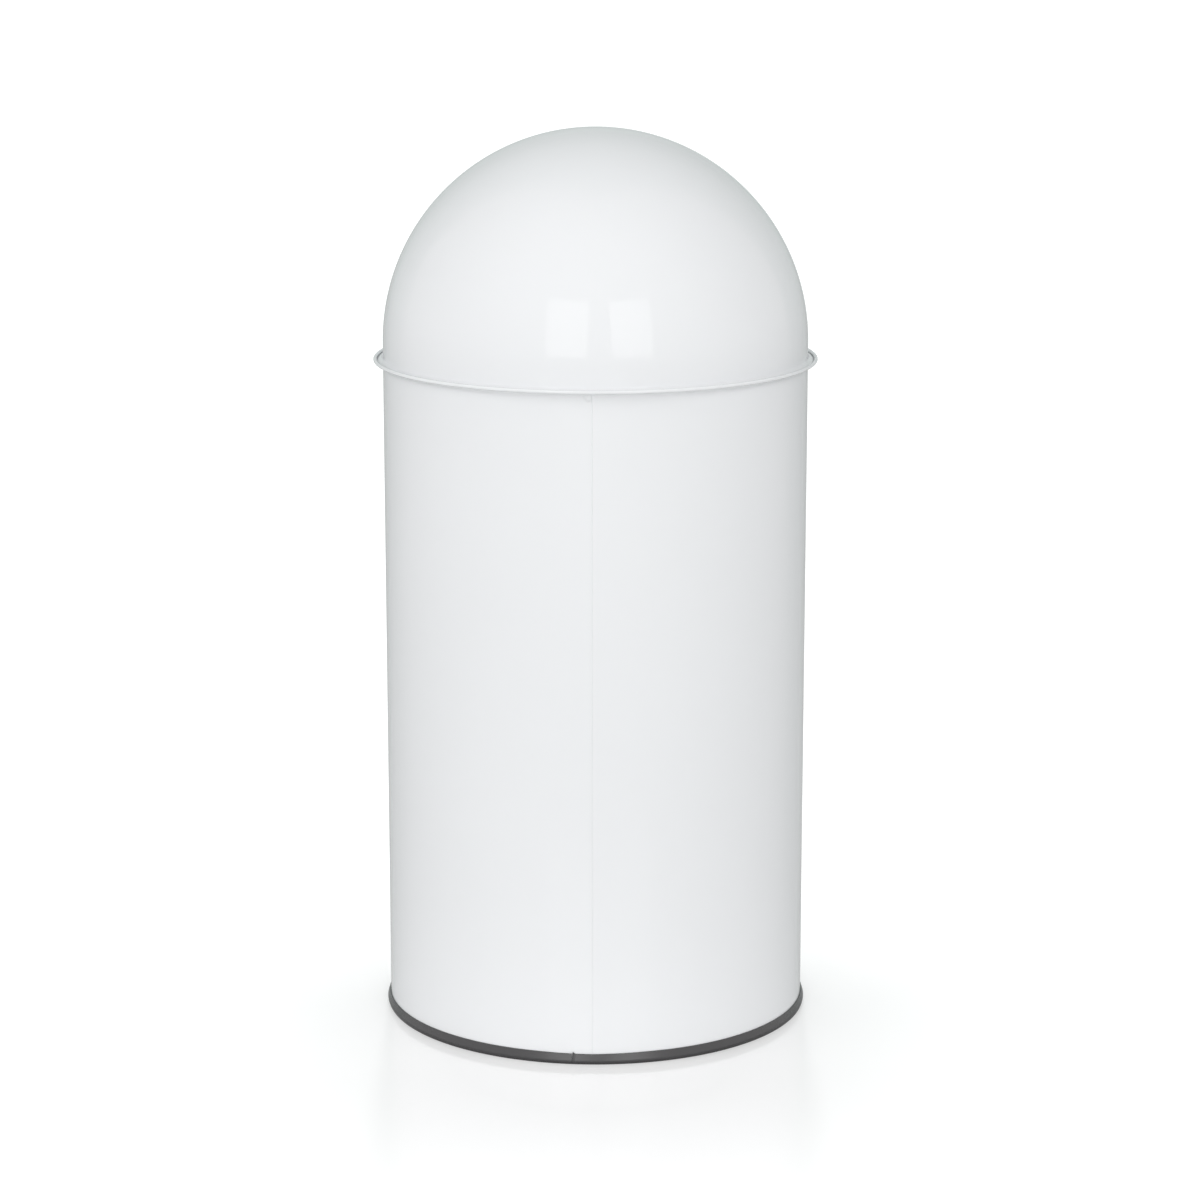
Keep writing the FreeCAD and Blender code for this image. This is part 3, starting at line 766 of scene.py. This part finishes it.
# %% Turn the locating band
band_low, band_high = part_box("locating_ring")
band_sheet = 0.8 * mm
band_columns = 256
band_corners = [
    (band_high.x - band_sheet, band_low.z, edge_rounding),
    (band_high.x, band_low.z, edge_rounding),
    (band_high.x, band_high.z, edge_rounding),
    (band_high.x - band_sheet, band_high.z, edge_rounding),
]
locating_band = make_mesh("locating_band", [turned_part(rounded(band_corners), full_turn(band_columns))])
dress(locating_band, "locating_ring", "white_coat")

# %% [markdown]
# ## Push flap
# The flap is a patch of a slightly smaller ball behind the opening. Its grid is a set of rounded
# rectangles that shrink to the middle, first on the outside, then round the cut edge and back to the
# middle on the inside. It rides on the flap's own body, so it swings with the hinge.

# %% Build the push flap
flap_overlap = 8.0 * mm
flap_gap = 1.5 * mm
flap_sheet = 0.7 * mm
flap_half_sheet = flap_sheet / 2
flap_reach = dome_radius - dome_sheet - flap_gap
flap_middle = flap_reach - flap_half_sheet
flap_columns = 256
flap_outline = rounded_rectangle(
    opening_half_width + flap_overlap - flap_half_sheet,
    opening_half_height + flap_overlap - flap_half_sheet,
    opening_corner + flap_overlap - flap_half_sheet,
    corner_steps,
)
flap_outline = along(flap_outline, np.linspace(0, 1, flap_columns, endpoint=False))
middle_rows = [0.0, 0.03]
even_rows = [0.06 + 0.92 * step / 40 for step in range(41)]
edge_row = 0.993
flap_rows = middle_rows + even_rows + [edge_row]
rim_ways = on_ball(flap_outline, flap_middle)
spoke_ways = np.concatenate([flap_outline[1:], flap_outline[:1]]) - np.roll(flap_outline, 1, axis=0)
spoke_ways = spoke_ways / np.linalg.norm(spoke_ways, axis=1, keepdims=True)
outward = spoke_ways[:, 1:] * sideways - spoke_ways[:, :1] * opening_up
outward -= (outward * rim_ways).sum(axis=1, keepdims=True) * rim_ways
outward /= np.linalg.norm(outward, axis=1, keepdims=True)
flap_fold = flap_middle * rim_ways
flap_fold = flap_fold + flap_half_sheet * (np.cos(fold) * outward + np.sin(fold) * rim_ways)
outer_skin = [flap_reach * on_ball(flap_outline * row, flap_middle) for row in flap_rows]
inner_skin = [(flap_reach - flap_sheet) * on_ball(flap_outline * row, flap_middle) for row in flap_rows]
flap_points = centre_point + np.concatenate([outer_skin, flap_fold, inner_skin[::-1]])
flap_faces = grid_faces(*flap_points.shape[:2], False, True)
push_flap = make_mesh("push_flap_sheet", [(flap_points, flap_faces)])
dress(push_flap, "push_flap", "white_coat")

# %% [markdown]
# ## Small pressed pieces
# The hinge brackets, the flap's straps, the bail's ears, the clips and the rubber pads are small stampings.
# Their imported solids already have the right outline, with edges as sharp as a drawing's. A stamping's edge
# catches a fine line of light, so each gets a narrow bevel. The flat faces are merged first, because a bevel
# along the solid's many small triangles would break up.

# %% Soften the stampings
flat_within = math.radians(1)
sharp_beyond = math.radians(40)
stamping_bevel = 0.25 * mm
clip_bevel = 0.12 * mm
join_within = 1e-6
pad_bevel = 0.2 * mm


def softened(name, node, slot, width):
    """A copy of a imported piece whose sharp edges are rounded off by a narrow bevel."""
    work = bmesh.new()
    work.from_mesh(frame["nodes"][node].data)
    bmesh.ops.remove_doubles(work, verts=work.verts, dist=join_within)
    bmesh.ops.dissolve_limit(work, angle_limit=flat_within, verts=work.verts, edges=work.edges)
    sharp = [edge for edge in work.edges if edge.calc_face_angle(0) > sharp_beyond]
    bevel = {"offset": width, "segments": 2, "profile": 0.5, "affect": "EDGES", "clamp_overlap": True}
    bmesh.ops.bevel(work, geom=sharp, **bevel)
    mesh = bpy.data.meshes.new(name)
    work.to_mesh(mesh)
    work.free()
    mesh.shade_smooth()
    piece = bpy.data.objects.new(name, mesh)
    bpy.context.scene.collection.objects.link(piece)
    piece.modifiers.new("even_shading", "WEIGHTED_NORMAL")
    dress(piece, node, slot)


for side in ("left", "right"):
    softened("bracket_" + side, "hinge_bracket_" + side, "white_coat", stamping_bevel)
    softened("strap_" + side, "flap_strap_" + side, "white_coat", stamping_bevel)
    softened("bail_ear_" + side, "ear_" + side, "galvanised_sheet", stamping_bevel)
softened("retaining_clips", "rod_clips", "spring_steel", clip_bevel)
softened("rubber_pads", "flap_bumpers", "bumper_rubber", pad_bevel)

# %% [markdown]
# ## Hinge rod
# A short zinc-plated rod carries the flap. It is turned on a lathe with a groove near each end for the
# clips. Its axis lies level, so the section is written along X and spun about that line.

# %% Turn the hinge rod
def cross_turned(outline, middle, columns):
    """A turned piece on a level axis, from (along X, radius) pairs round a middle line."""
    angles = full_turn(columns)
    section = np.array(outline)
    along_axis = np.repeat(section[:, :1], columns, axis=1)
    radius = section[:, 1:]
    points = [along_axis, middle.y + radius * np.cos(angles), middle.z + radius * np.sin(angles)]
    return np.stack(points, axis=-1), grid_faces(len(outline), columns, False, True)


joints = {joint["name"]: joint for joint in frame["joints"]}
hinge = Vector(joints["flap_push"]["pos_m"])
rod_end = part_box("hinge_rod")[1].x
rod_radius = 2.5 * mm
rod_columns = 48
rod_chamfer = 0.5 * mm
groove_edge = 0.08 * mm
groove_corner = 0.05 * mm
groove_floor = 2.0 * mm
groove_half_width = 0.7 * mm
clip_half_width = 0.6 * mm
groove_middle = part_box("rod_clips")[1].x - clip_half_width
rod_half = [(rod_end, 0, 0), (rod_end, rod_radius, rod_chamfer)]
for edge in (groove_middle + groove_half_width, groove_middle - groove_half_width):
    pair = [(edge, rod_radius, groove_edge), (edge, groove_floor, groove_corner)]
    rod_half += pair if edge > groove_middle else pair[::-1]
rod_corners = rod_half + [(-across, up, rounding) for across, up, rounding in rod_half[::-1]]
rod = cross_turned(rounded(rod_corners, closed=False), hinge, rod_columns)
hinge_rod = make_mesh("flap_rod", [rod])
dress(hinge_rod, "hinge_rod", "zinc_steel")

# %% [markdown]
# ## Return spring
# A torsion spring round the rod closes the flap: one leg leans on the dome, the other on the flap. A wire piece is
# a ring of points carried along a line. The ring is never twisted on the way, only tilted as far as each step
# needs, so no seam winds round the wire. When the flap opens, the coil has to wind up with it, but here the spring
# is one still piece, drawn at rest and hung on neither the lid nor the flap.

# %% Wind the return spring
any_slant = (0.3, 0.5, 0.8)


def wire_rings(line, radius, sides):
    """Rings of points along a line of places. The radius is one number or one for each place."""
    line = np.array(line)
    ways = np.gradient(line, axis=0)
    ways /= np.linalg.norm(ways, axis=1, keepdims=True)
    angles = full_turn(sides)[:, None]
    across = np.cross(ways[0], any_slant)
    rings = []
    for place, way, size in zip(line, ways, np.broadcast_to(radius, len(line))):
        across = across - across.dot(way) * way
        across = across / np.linalg.norm(across)
        rings.append(place + size * (np.cos(angles) * across + np.sin(angles) * np.cross(way, across)))
    return np.array(rings)


def wire_part(line, radius, sides=20):
    """Points and faces of a round wire with cut ends."""
    rings = wire_rings(line, radius, sides)
    faces = grid_faces(len(rings), sides, False, True)
    last = (len(rings) - 1) * sides
    return rings, faces + [list(range(sides)), list(range(last, last + sides))]


spring_wire = 0.9 * mm
coil_radius = 4.2 * mm
coil_pitch = 2.6 * mm
opening_angle = 180 - math.degrees(opening_tilt)
dome_leg_angle = opening_angle - 91.5
flap_leg_angle = opening_angle + 39.0
coil_turns = 10
spring_sides = 14
steps_per_turn = 36
leg_steps = 12
coil_first = math.radians(dome_leg_angle + 90)
coil_last = math.radians(flap_leg_angle - 90 + 360 * coil_turns)
leg_clearance = 0.3 * mm
dome_leg_reach = dome_radius - dome_sheet - spring_wire - leg_clearance
flap_leg_reach = flap_reach - flap_sheet - spring_wire - leg_clearance

coil_angles = np.linspace(coil_first, coil_last, steps_per_turn * coil_turns)
coil_half_length = coil_pitch * (coil_last - coil_first) / (4 * math.pi)
coil = np.stack([
    np.linspace(-coil_half_length, coil_half_length, len(coil_angles)),
    hinge.y + coil_radius * np.cos(coil_angles),
    hinge.z + coil_radius * np.sin(coil_angles),
], axis=1)


def leg(start, way, reach):
    """A straight leg from the coil to a distance from the dome's centre."""
    way = np.array(way)
    out = start - centre_point
    forward = out.dot(way)
    length = -forward + math.sqrt(forward ** 2 - out.dot(out) + reach ** 2)
    steps = np.linspace(0, 1, leg_steps)[1:, None]
    return start + steps * length * way


first_way = (0, math.sin(coil_first), -math.cos(coil_first))
last_way = (0, -math.sin(coil_last), math.cos(coil_last))
dome_leg = leg(coil[0], first_way, dome_leg_reach)
flap_leg = leg(coil[-1], last_way, flap_leg_reach)
spring_line = np.concatenate([dome_leg[::-1], coil, flap_leg])
return_spring = make_mesh("torsion_spring", [wire_part(spring_line, spring_wire, spring_sides)])
return_spring.data.materials.append(finishes["spring_steel"])
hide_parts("return_spring")
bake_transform(return_spring)
print("spring of", round((coil_last - coil_first) / (2 * math.pi), 2), "turns")

# %% [markdown]
# ## Liner
# The liner is a plain tapered bucket of galvanised sheet, and its top is curled outward over a wire. A ring
# laid on the rim would be quicker to make, but it would have no open end. So the curl is drawn as two arcs,
# one for each face of the sheet, that stop short of a full turn, and the gap can be seen from below.

# %% Turn the liner
liner_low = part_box("liner_shell")[0].z
liner_sheet = 0.5 * mm
liner_foot = 155.2 * mm
wire_low, wire_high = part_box("liner_rim_wire")
rim_wire_radius = (wire_high.z - wire_low.z) / 2
curl_centre = (wire_high.x - rim_wire_radius, (wire_low.z + wire_high.z) / 2)
curl_radius = 3.0 * mm
curl_end = -120
inner_curl_steps = 24
outer_curl_steps = 28
liner_columns = 256
liner_corners = [(liner_foot, liner_low, edge_rounding), (liner_foot + liner_sheet, liner_low, edge_rounding)]
liner_corners += plain(arc(curl_centre, curl_radius - liner_sheet, 180, curl_end, inner_curl_steps))
liner_corners += plain(arc(curl_centre, curl_radius, curl_end, 180, outer_curl_steps))
liner_shell = make_mesh("liner_bucket", [turned_part(rounded(liner_corners), full_turn(liner_columns))])
dress(liner_shell, "liner_shell", "galvanised_sheet")

# %% [markdown]
# ## Wire in the liner's rim
# The wire keeps the curled rim round. Only a glint of it shows through the open end of the curl, so a plain
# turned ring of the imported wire's thickness is enough.

# %% Lay the wire into the rim
rim_wire_sides = 24
rim_wire = arc(curl_centre, rim_wire_radius, 0, 360 - 360 / rim_wire_sides, rim_wire_sides - 1)
liner_rim_wire = make_mesh("rim_wire", [turned_part(rim_wire, full_turn(liner_columns))])
dress(liner_rim_wire, "liner_rim_wire", "zinc_steel")

# %% [markdown]
# ## Liner bottom
# A flanged disc closes the bucket. It is spun like the bin's own bottom pan, with an outline that starts and
# ends on the axis, only with thinner sheet and a tighter bend.

# %% Turn the liner's bottom
disc_low, disc_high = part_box("liner_bottom")
disc_sheet = 0.6 * mm
disc_bend = 1.0 * mm
disc_columns = 192
disc_radius = disc_high.x
disc_halfway = disc_radius * 0.6
disc_inside = disc_radius - disc_sheet
disc_under = disc_high.z - disc_sheet
disc_corners = [(0, disc_high.z, 0), (disc_halfway, disc_high.z, 0), (disc_radius, disc_high.z, disc_bend)]
disc_corners += [(disc_radius, disc_low.z, edge_rounding), (disc_inside, disc_low.z, edge_rounding)]
disc_corners += [(disc_inside, disc_under, disc_bend - disc_sheet), (disc_halfway, disc_under, 0)]
disc_corners += [(0, disc_under, 0)]
disc = turned_part(rounded(disc_corners, closed=False), full_turn(disc_columns), closed=False)
liner_bottom = make_mesh("liner_disc", [disc])
dress(liner_bottom, "liner_bottom", "galvanised_sheet")

# %% [markdown]
# ## Rivets
# Two rivets hold each ear to the liner's wall. A rivet is a short turned pin with a pan head on both ends,
# and all four are one piece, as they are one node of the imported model.

# %% Turn the rivets
rivet_low, rivet_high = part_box("ear_rivets")
rivet_head = 3.6 * mm
rivet_pin = 2.0 * mm
head_height = 1.6 * mm
head_rounding = 1.2 * mm
rivet_slack = 0.05 * mm
rivet_columns = 32
ear_inner_face, ear_outer_face = (corner.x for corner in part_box("ear_right"))
inner_seat = ear_inner_face - rivet_slack
outer_seat = rivet_high.x - head_height
rivet_corners = [
    (inner_seat - head_height, 0, 0),
    (inner_seat - head_height, rivet_head, head_rounding),
    (inner_seat, rivet_head, edge_rounding),
    (inner_seat, rivet_pin, 0),
    (outer_seat, rivet_pin, 0),
    (outer_seat, rivet_head, edge_rounding),
    (rivet_high.x, rivet_head, head_rounding),
    (rivet_high.x, 0, 0),
]
rivets = []
for mirror in (1, -1):
    outline = [(mirror * across, up) for across, up in rounded(rivet_corners, closed=False)]
    for level in (rivet_low.y + rivet_head, rivet_high.y - rivet_head):
        middle = Vector((0, level, (rivet_low.z + rivet_high.z) / 2))
        rivets.append(cross_turned(outline, middle, rivet_columns))
ear_rivets = make_mesh("liner_rivets", rivets)
dress(ear_rivets, "ear_rivets", "zinc_steel")

# %% [markdown]
# ## Bail
# The carrying handle is one bent wire. Each end passes through an ear and is upset into a small head, then
# the wire turns a right angle and runs round in a half circle. Half of its line is drawn and mirrored, so
# both ends are alike.

# %% Bend the bail
pivot = Vector(joints["bail_swing"]["pos_m"])
bail_wire_radius = 2.4 * mm
bail_bend = 6.0 * mm
bail_shoulder = 4.0 * mm
bail_slack = 0.4 * mm
bail_sides = 24
end_steps = 4
bail_bend_steps = 10
bow_step = 1.5
bow_steps = 59
bail_half_width = ear_inner_face - bail_shoulder - bail_bend
bow_centre = curl_centre[0] - bail_half_width
head_seat = ear_outer_face + bail_slack
bail_head = 3.6 * mm
bail_head_height = 1.6 * mm

bail_end = bail_shoulder + head_seat - ear_inner_face
half_bow = [(head_seat - step * bail_end / end_steps, 0) for step in range(end_steps)]
half_bow += arc((bail_half_width + bail_bend, bail_bend), bail_bend, 270, 180, bail_bend_steps)
half_bow += [(bail_half_width, bail_bend + 0.5 * (bow_centre - bail_bend))]
half_bow += arc((0, bow_centre), bail_half_width, 0, bow_step * bow_steps, bow_steps)
bow = half_bow + [(0, bow_centre + bail_half_width)] + [(-across, out) for across, out in half_bow[::-1]]
bow = [(across, pivot.y + out, pivot.z) for across, out in bow]
parts = [wire_part(bow, bail_wire_radius, bail_sides)]
for mirror in (1, -1):
    head_corners = [
        (mirror * head_seat, 0, 0),
        (mirror * head_seat, bail_head, edge_rounding),
        (mirror * (head_seat + bail_head_height), bail_head, head_rounding),
        (mirror * (head_seat + bail_head_height), 0, 0),
    ]
    parts.append(cross_turned(rounded(head_corners, closed=False), pivot, rivet_columns))
bail_wire = make_mesh("bail_bow", parts)
dress(bail_wire, "bail_wire", "zinc_steel")

# %% [markdown]
# ## Grip
# The grip is a black moulding slid onto the middle of the bail, with shallow rings that keep a wet hand from
# slipping. It follows the wire's bow, so it is made like a wire of changing thickness, once for its skin and
# once for the hole inside it.

# %% Mould the grip
grip_radius = 6.0 * mm
grip_bore = 2.5 * mm
grip_half_length = 50.0 * mm
grip_rounding = 1.5 * mm
ring_depth = 0.5 * mm
ring_spacing = 8.0 * mm
ring_share = 0.4
ringed_half_length = 36.0 * mm
grip_rows = 241
grip_sides = 36
grip_run = np.linspace(-grip_half_length, grip_half_length, grip_rows)
from_tip = grip_half_length - np.abs(grip_run)
tip_drop = grip_rounding - np.sqrt(grip_rounding ** 2 - np.clip(grip_rounding - from_tip, 0, None) ** 2)
ringed = np.abs(grip_run) < ringed_half_length
wave = np.cos(2 * math.pi * grip_run / ring_spacing) - (1 - ring_share)
rings = ring_depth * np.clip(wave, 0, None) / ring_share * ringed
grip_sizes = grip_radius - tip_drop - rings
grip_angles = math.pi / 2 + grip_run / bail_half_width
grip_line = np.stack([
    bail_half_width * np.cos(grip_angles),
    pivot.y + bow_centre + bail_half_width * np.sin(grip_angles),
    np.full(len(grip_run), pivot.z),
], axis=1)
grip_skin = wire_rings(grip_line, grip_sizes, grip_sides)
grip_hole = wire_rings(grip_line, grip_bore, grip_sides)
grip_points = np.concatenate([grip_skin, grip_hole[::-1]])
grip_faces = grid_faces(*grip_points.shape[:2], True, True)
bail_grip = make_mesh("handle_grip", [(grip_points, grip_faces)])
dress(bail_grip, "bail_grip", "grip_plastic")

# %% [markdown]
# ## The ground
# The bin stands on a smooth white ground that runs off into a white background. A ground as bright as that would
# throw much light up at the bin, so the plane itself is only pale grey, and a glow that nothing but the camera
# sees makes it white. In front of the base the glow sinks in a soft round patch, a painted shade on the ground
# that stands in for the faint darkening seen there.

# %% Lay the ground
ground_reach = 30.0
ground_tone = 0.6
ground_roughness = 0.12
shade_middle = (0, 0.17, 0)
shade_half_size = (0.22, 0.22, 1)
shade_core = 0.5
shade_reach = 2.67
glow_in_shade = 0.325
glow_outside = 0.72

ground_corners = [(-1, -1), (1, -1), (1, 1), (-1, 1)]
ground_points = [(x * ground_reach, y * ground_reach, 0) for x, y in ground_corners]
ground_mesh = bpy.data.meshes.new("studio_ground")
ground_mesh.from_pydata(ground_points, [], [(0, 1, 2, 3)])
ground = bpy.data.objects.new("studio_ground", ground_mesh)
bpy.context.scene.collection.objects.link(ground)

finish, tree, surface = new_finish("studio_ground")
place = place_of(tree)
# painted shade: the camera-only glow dips in a soft round patch in front of the base
patch = add_node(tree, "ShaderNodeMapping", Vector=place, Location=shade_middle, Scale=shade_half_size)
patch.vector_type = "TEXTURE"
from_shade = add_node(tree, "ShaderNodeVectorMath", Vector=patch.outputs["Vector"])
from_shade.operation = "LENGTH"
shade_span = (shade_core, shade_reach)
glow = remap(tree, from_shade.outputs["Value"], shade_span, (glow_in_shade, glow_outside))
light_path = add_node(tree, "ShaderNodeLightPath")
camera_glow = reckon(tree, "MULTIPLY", light_path.outputs["Is Camera Ray"], glow)
surface.inputs["Base Color"].default_value = (ground_tone, ground_tone, ground_tone, 1)
surface.inputs["Roughness"].default_value = ground_roughness
surface.inputs["Emission Color"].default_value = (1, 1, 1, 1)
tree.links.new(camera_glow, surface.inputs["Emission Strength"])
ground_mesh.materials.append(finish)
print("ground", 2 * ground_reach, "m wide")

# %% [markdown]
# ## The sky
# A glossy white bin shows its surroundings, above all near its edges. The room is pale in front of the bin
# and a little darker and cooler beside and behind it, and that draws the edges of the dome and the tube. So
# the sky has two tones that meet in upright lines beside the bin. The lamps do most of the lighting, so the
# sky gives less soft light than it shows in reflections, and to the camera it is plain white.

# %% Paint the sky
wall_behind = (0.45, 0.495, 0.482)
wall_in_front = (0.68, 0.68, 0.68)
wall_slant = 0.75
wall_blur = 0.03
soft_light_share = 0.82
mirrored_share = 1.12

sky = bpy.data.worlds.new("studio_sky")
bpy.context.scene.world = sky
sky.use_nodes = True
tree = sky.node_tree
tree.nodes.clear()
way = add_node(tree, "ShaderNodeTexCoord").outputs["Generated"]
way_parts = add_node(tree, "ShaderNodeSeparateXYZ", Vector=way).outputs
aside = reckon(tree, "ABSOLUTE", way_parts["X"])
frontness = reckon(tree, "MULTIPLY_ADD", aside, wall_slant, way_parts["Y"])
front_share = remap(tree, frontness, (-wall_blur, wall_blur), (0, 1))
wall_tone = shade(tree, front_share, wall_behind, wall_in_front)
light_path = add_node(tree, "ShaderNodeLightPath")
strength = remap(tree, light_path.outputs["Is Glossy Ray"], (0, 1), (soft_light_share, mirrored_share))
fill = add_node(tree, "ShaderNodeBackground", Color=wall_tone, Strength=strength)
white = add_node(tree, "ShaderNodeBackground", Color=(1, 1, 1, 1), Strength=1.0)
chosen = add_node(tree, "ShaderNodeMixShader", Fac=light_path.outputs["Is Camera Ray"])
tree.links.new(fill.outputs[0], chosen.inputs[1])
tree.links.new(white.outputs[0], chosen.inputs[2])
output = add_node(tree, "ShaderNodeOutputWorld")
tree.links.new(chosen.outputs[0], output.inputs["Surface"])
print("sky from", wall_behind, "behind to", wall_in_front, "in front")

# %% [markdown]
# ## The lamps
# Two square soft boxes beside the camera leave the pair of pale panes on the dome. The rest of the light has
# no mirror image: a wide low lamp in front, one on each side from above, which draw the shade under the
# rim, faint ones on the ground and overhead, and a small one behind for the left edge. Each lamp is set by
# its radiance, so a lamp of another size looks equally bright.

# %% Hang the lamps
def soft_box(name, place, aim, width, height, radiance, shape="RECTANGLE"):
    """A flat lamp of a given radiance that faces a point."""
    data = bpy.data.lights.new(name, "AREA")
    data.shape = shape
    data.size = width
    data.size_y = height
    data.energy = radiance * math.pi * width * height
    lamp = bpy.data.objects.new(name, data)
    lamp.location = place
    lamp.rotation_euler = (Vector(aim) - Vector(place)).to_track_quat("-Z", "Y").to_euler()
    bpy.context.scene.collection.objects.link(lamp)
    print(name, "at", tuple(round(value, 2) for value in place), round(data.energy, 2), "W")
    return lamp


bin_middle = (0, 0, 0.6)
body_middle = (0, 0, 0.45)
glow_height = 0.004
soft_box("soft_box_left", (0.65, 2.43, 1.2), bin_middle, 0.97, 1.34, 1.1)
soft_box("soft_box_right", (-0.83, 2.4, 1.2), bin_middle, 0.97, 1.34, 1.1)
unseen_lamps = [
    soft_box("front_fill", (0.4, 3.7, 0.5), (0, 0, 0.3), 3.0, 0.9, 3.2),
    soft_box("left_fill", (2.85, 1.45, 2.5), body_middle, 2.4, 1.4, 2.85),
    soft_box("right_fill", (-2.85, 1.45, 2.5), body_middle, 2.4, 1.4, 2.4),
    soft_box("ground_glow", (0, 0.6, glow_height), (0, 0.6, 1), 1.2, 0.8, 0.1),
    soft_box("base_glow", (0, 0, glow_height), (0, 0, 1), 0.6, 0.6, 0.2, shape="DISK"),
    soft_box("ceiling_fill", (0, 0.9, 3.2), bin_middle, 3.0, 3.0, 0.1),
    soft_box("left_edge_fill", (2.2, -1.2, 1.9), bin_middle, 1.0, 1.0, 0.8),
]

# %% [markdown]
# ## Light from behind
# The flap's side needs light too. A lamp close behind the bin would brighten a patch of the ground there, and
# the tube's edge mirrors that patch as a step. A sun lights all of the ground alike, so it stands in for a
# large lamp far away. It is low and a little soft, and throws the bin's shadow towards the camera.

# %% Light the flap's side
back_strength = 1.93
back_softness = math.radians(5)
back_way = (0, 1, -0.2)

back_light = bpy.data.lights.new("back_light", "SUN")
back_light.energy = back_strength
back_light.angle = back_softness
back_lamp = bpy.data.objects.new("back_light", back_light)
back_lamp.rotation_euler = Vector(back_way).to_track_quat("-Z", "Y").to_euler()
bpy.context.scene.collection.objects.link(back_lamp)
unseen_lamps.append(back_lamp)
for lamp in unseen_lamps:
    lamp.visible_glossy = False
print(len(unseen_lamps), "lamps without a mirror image")
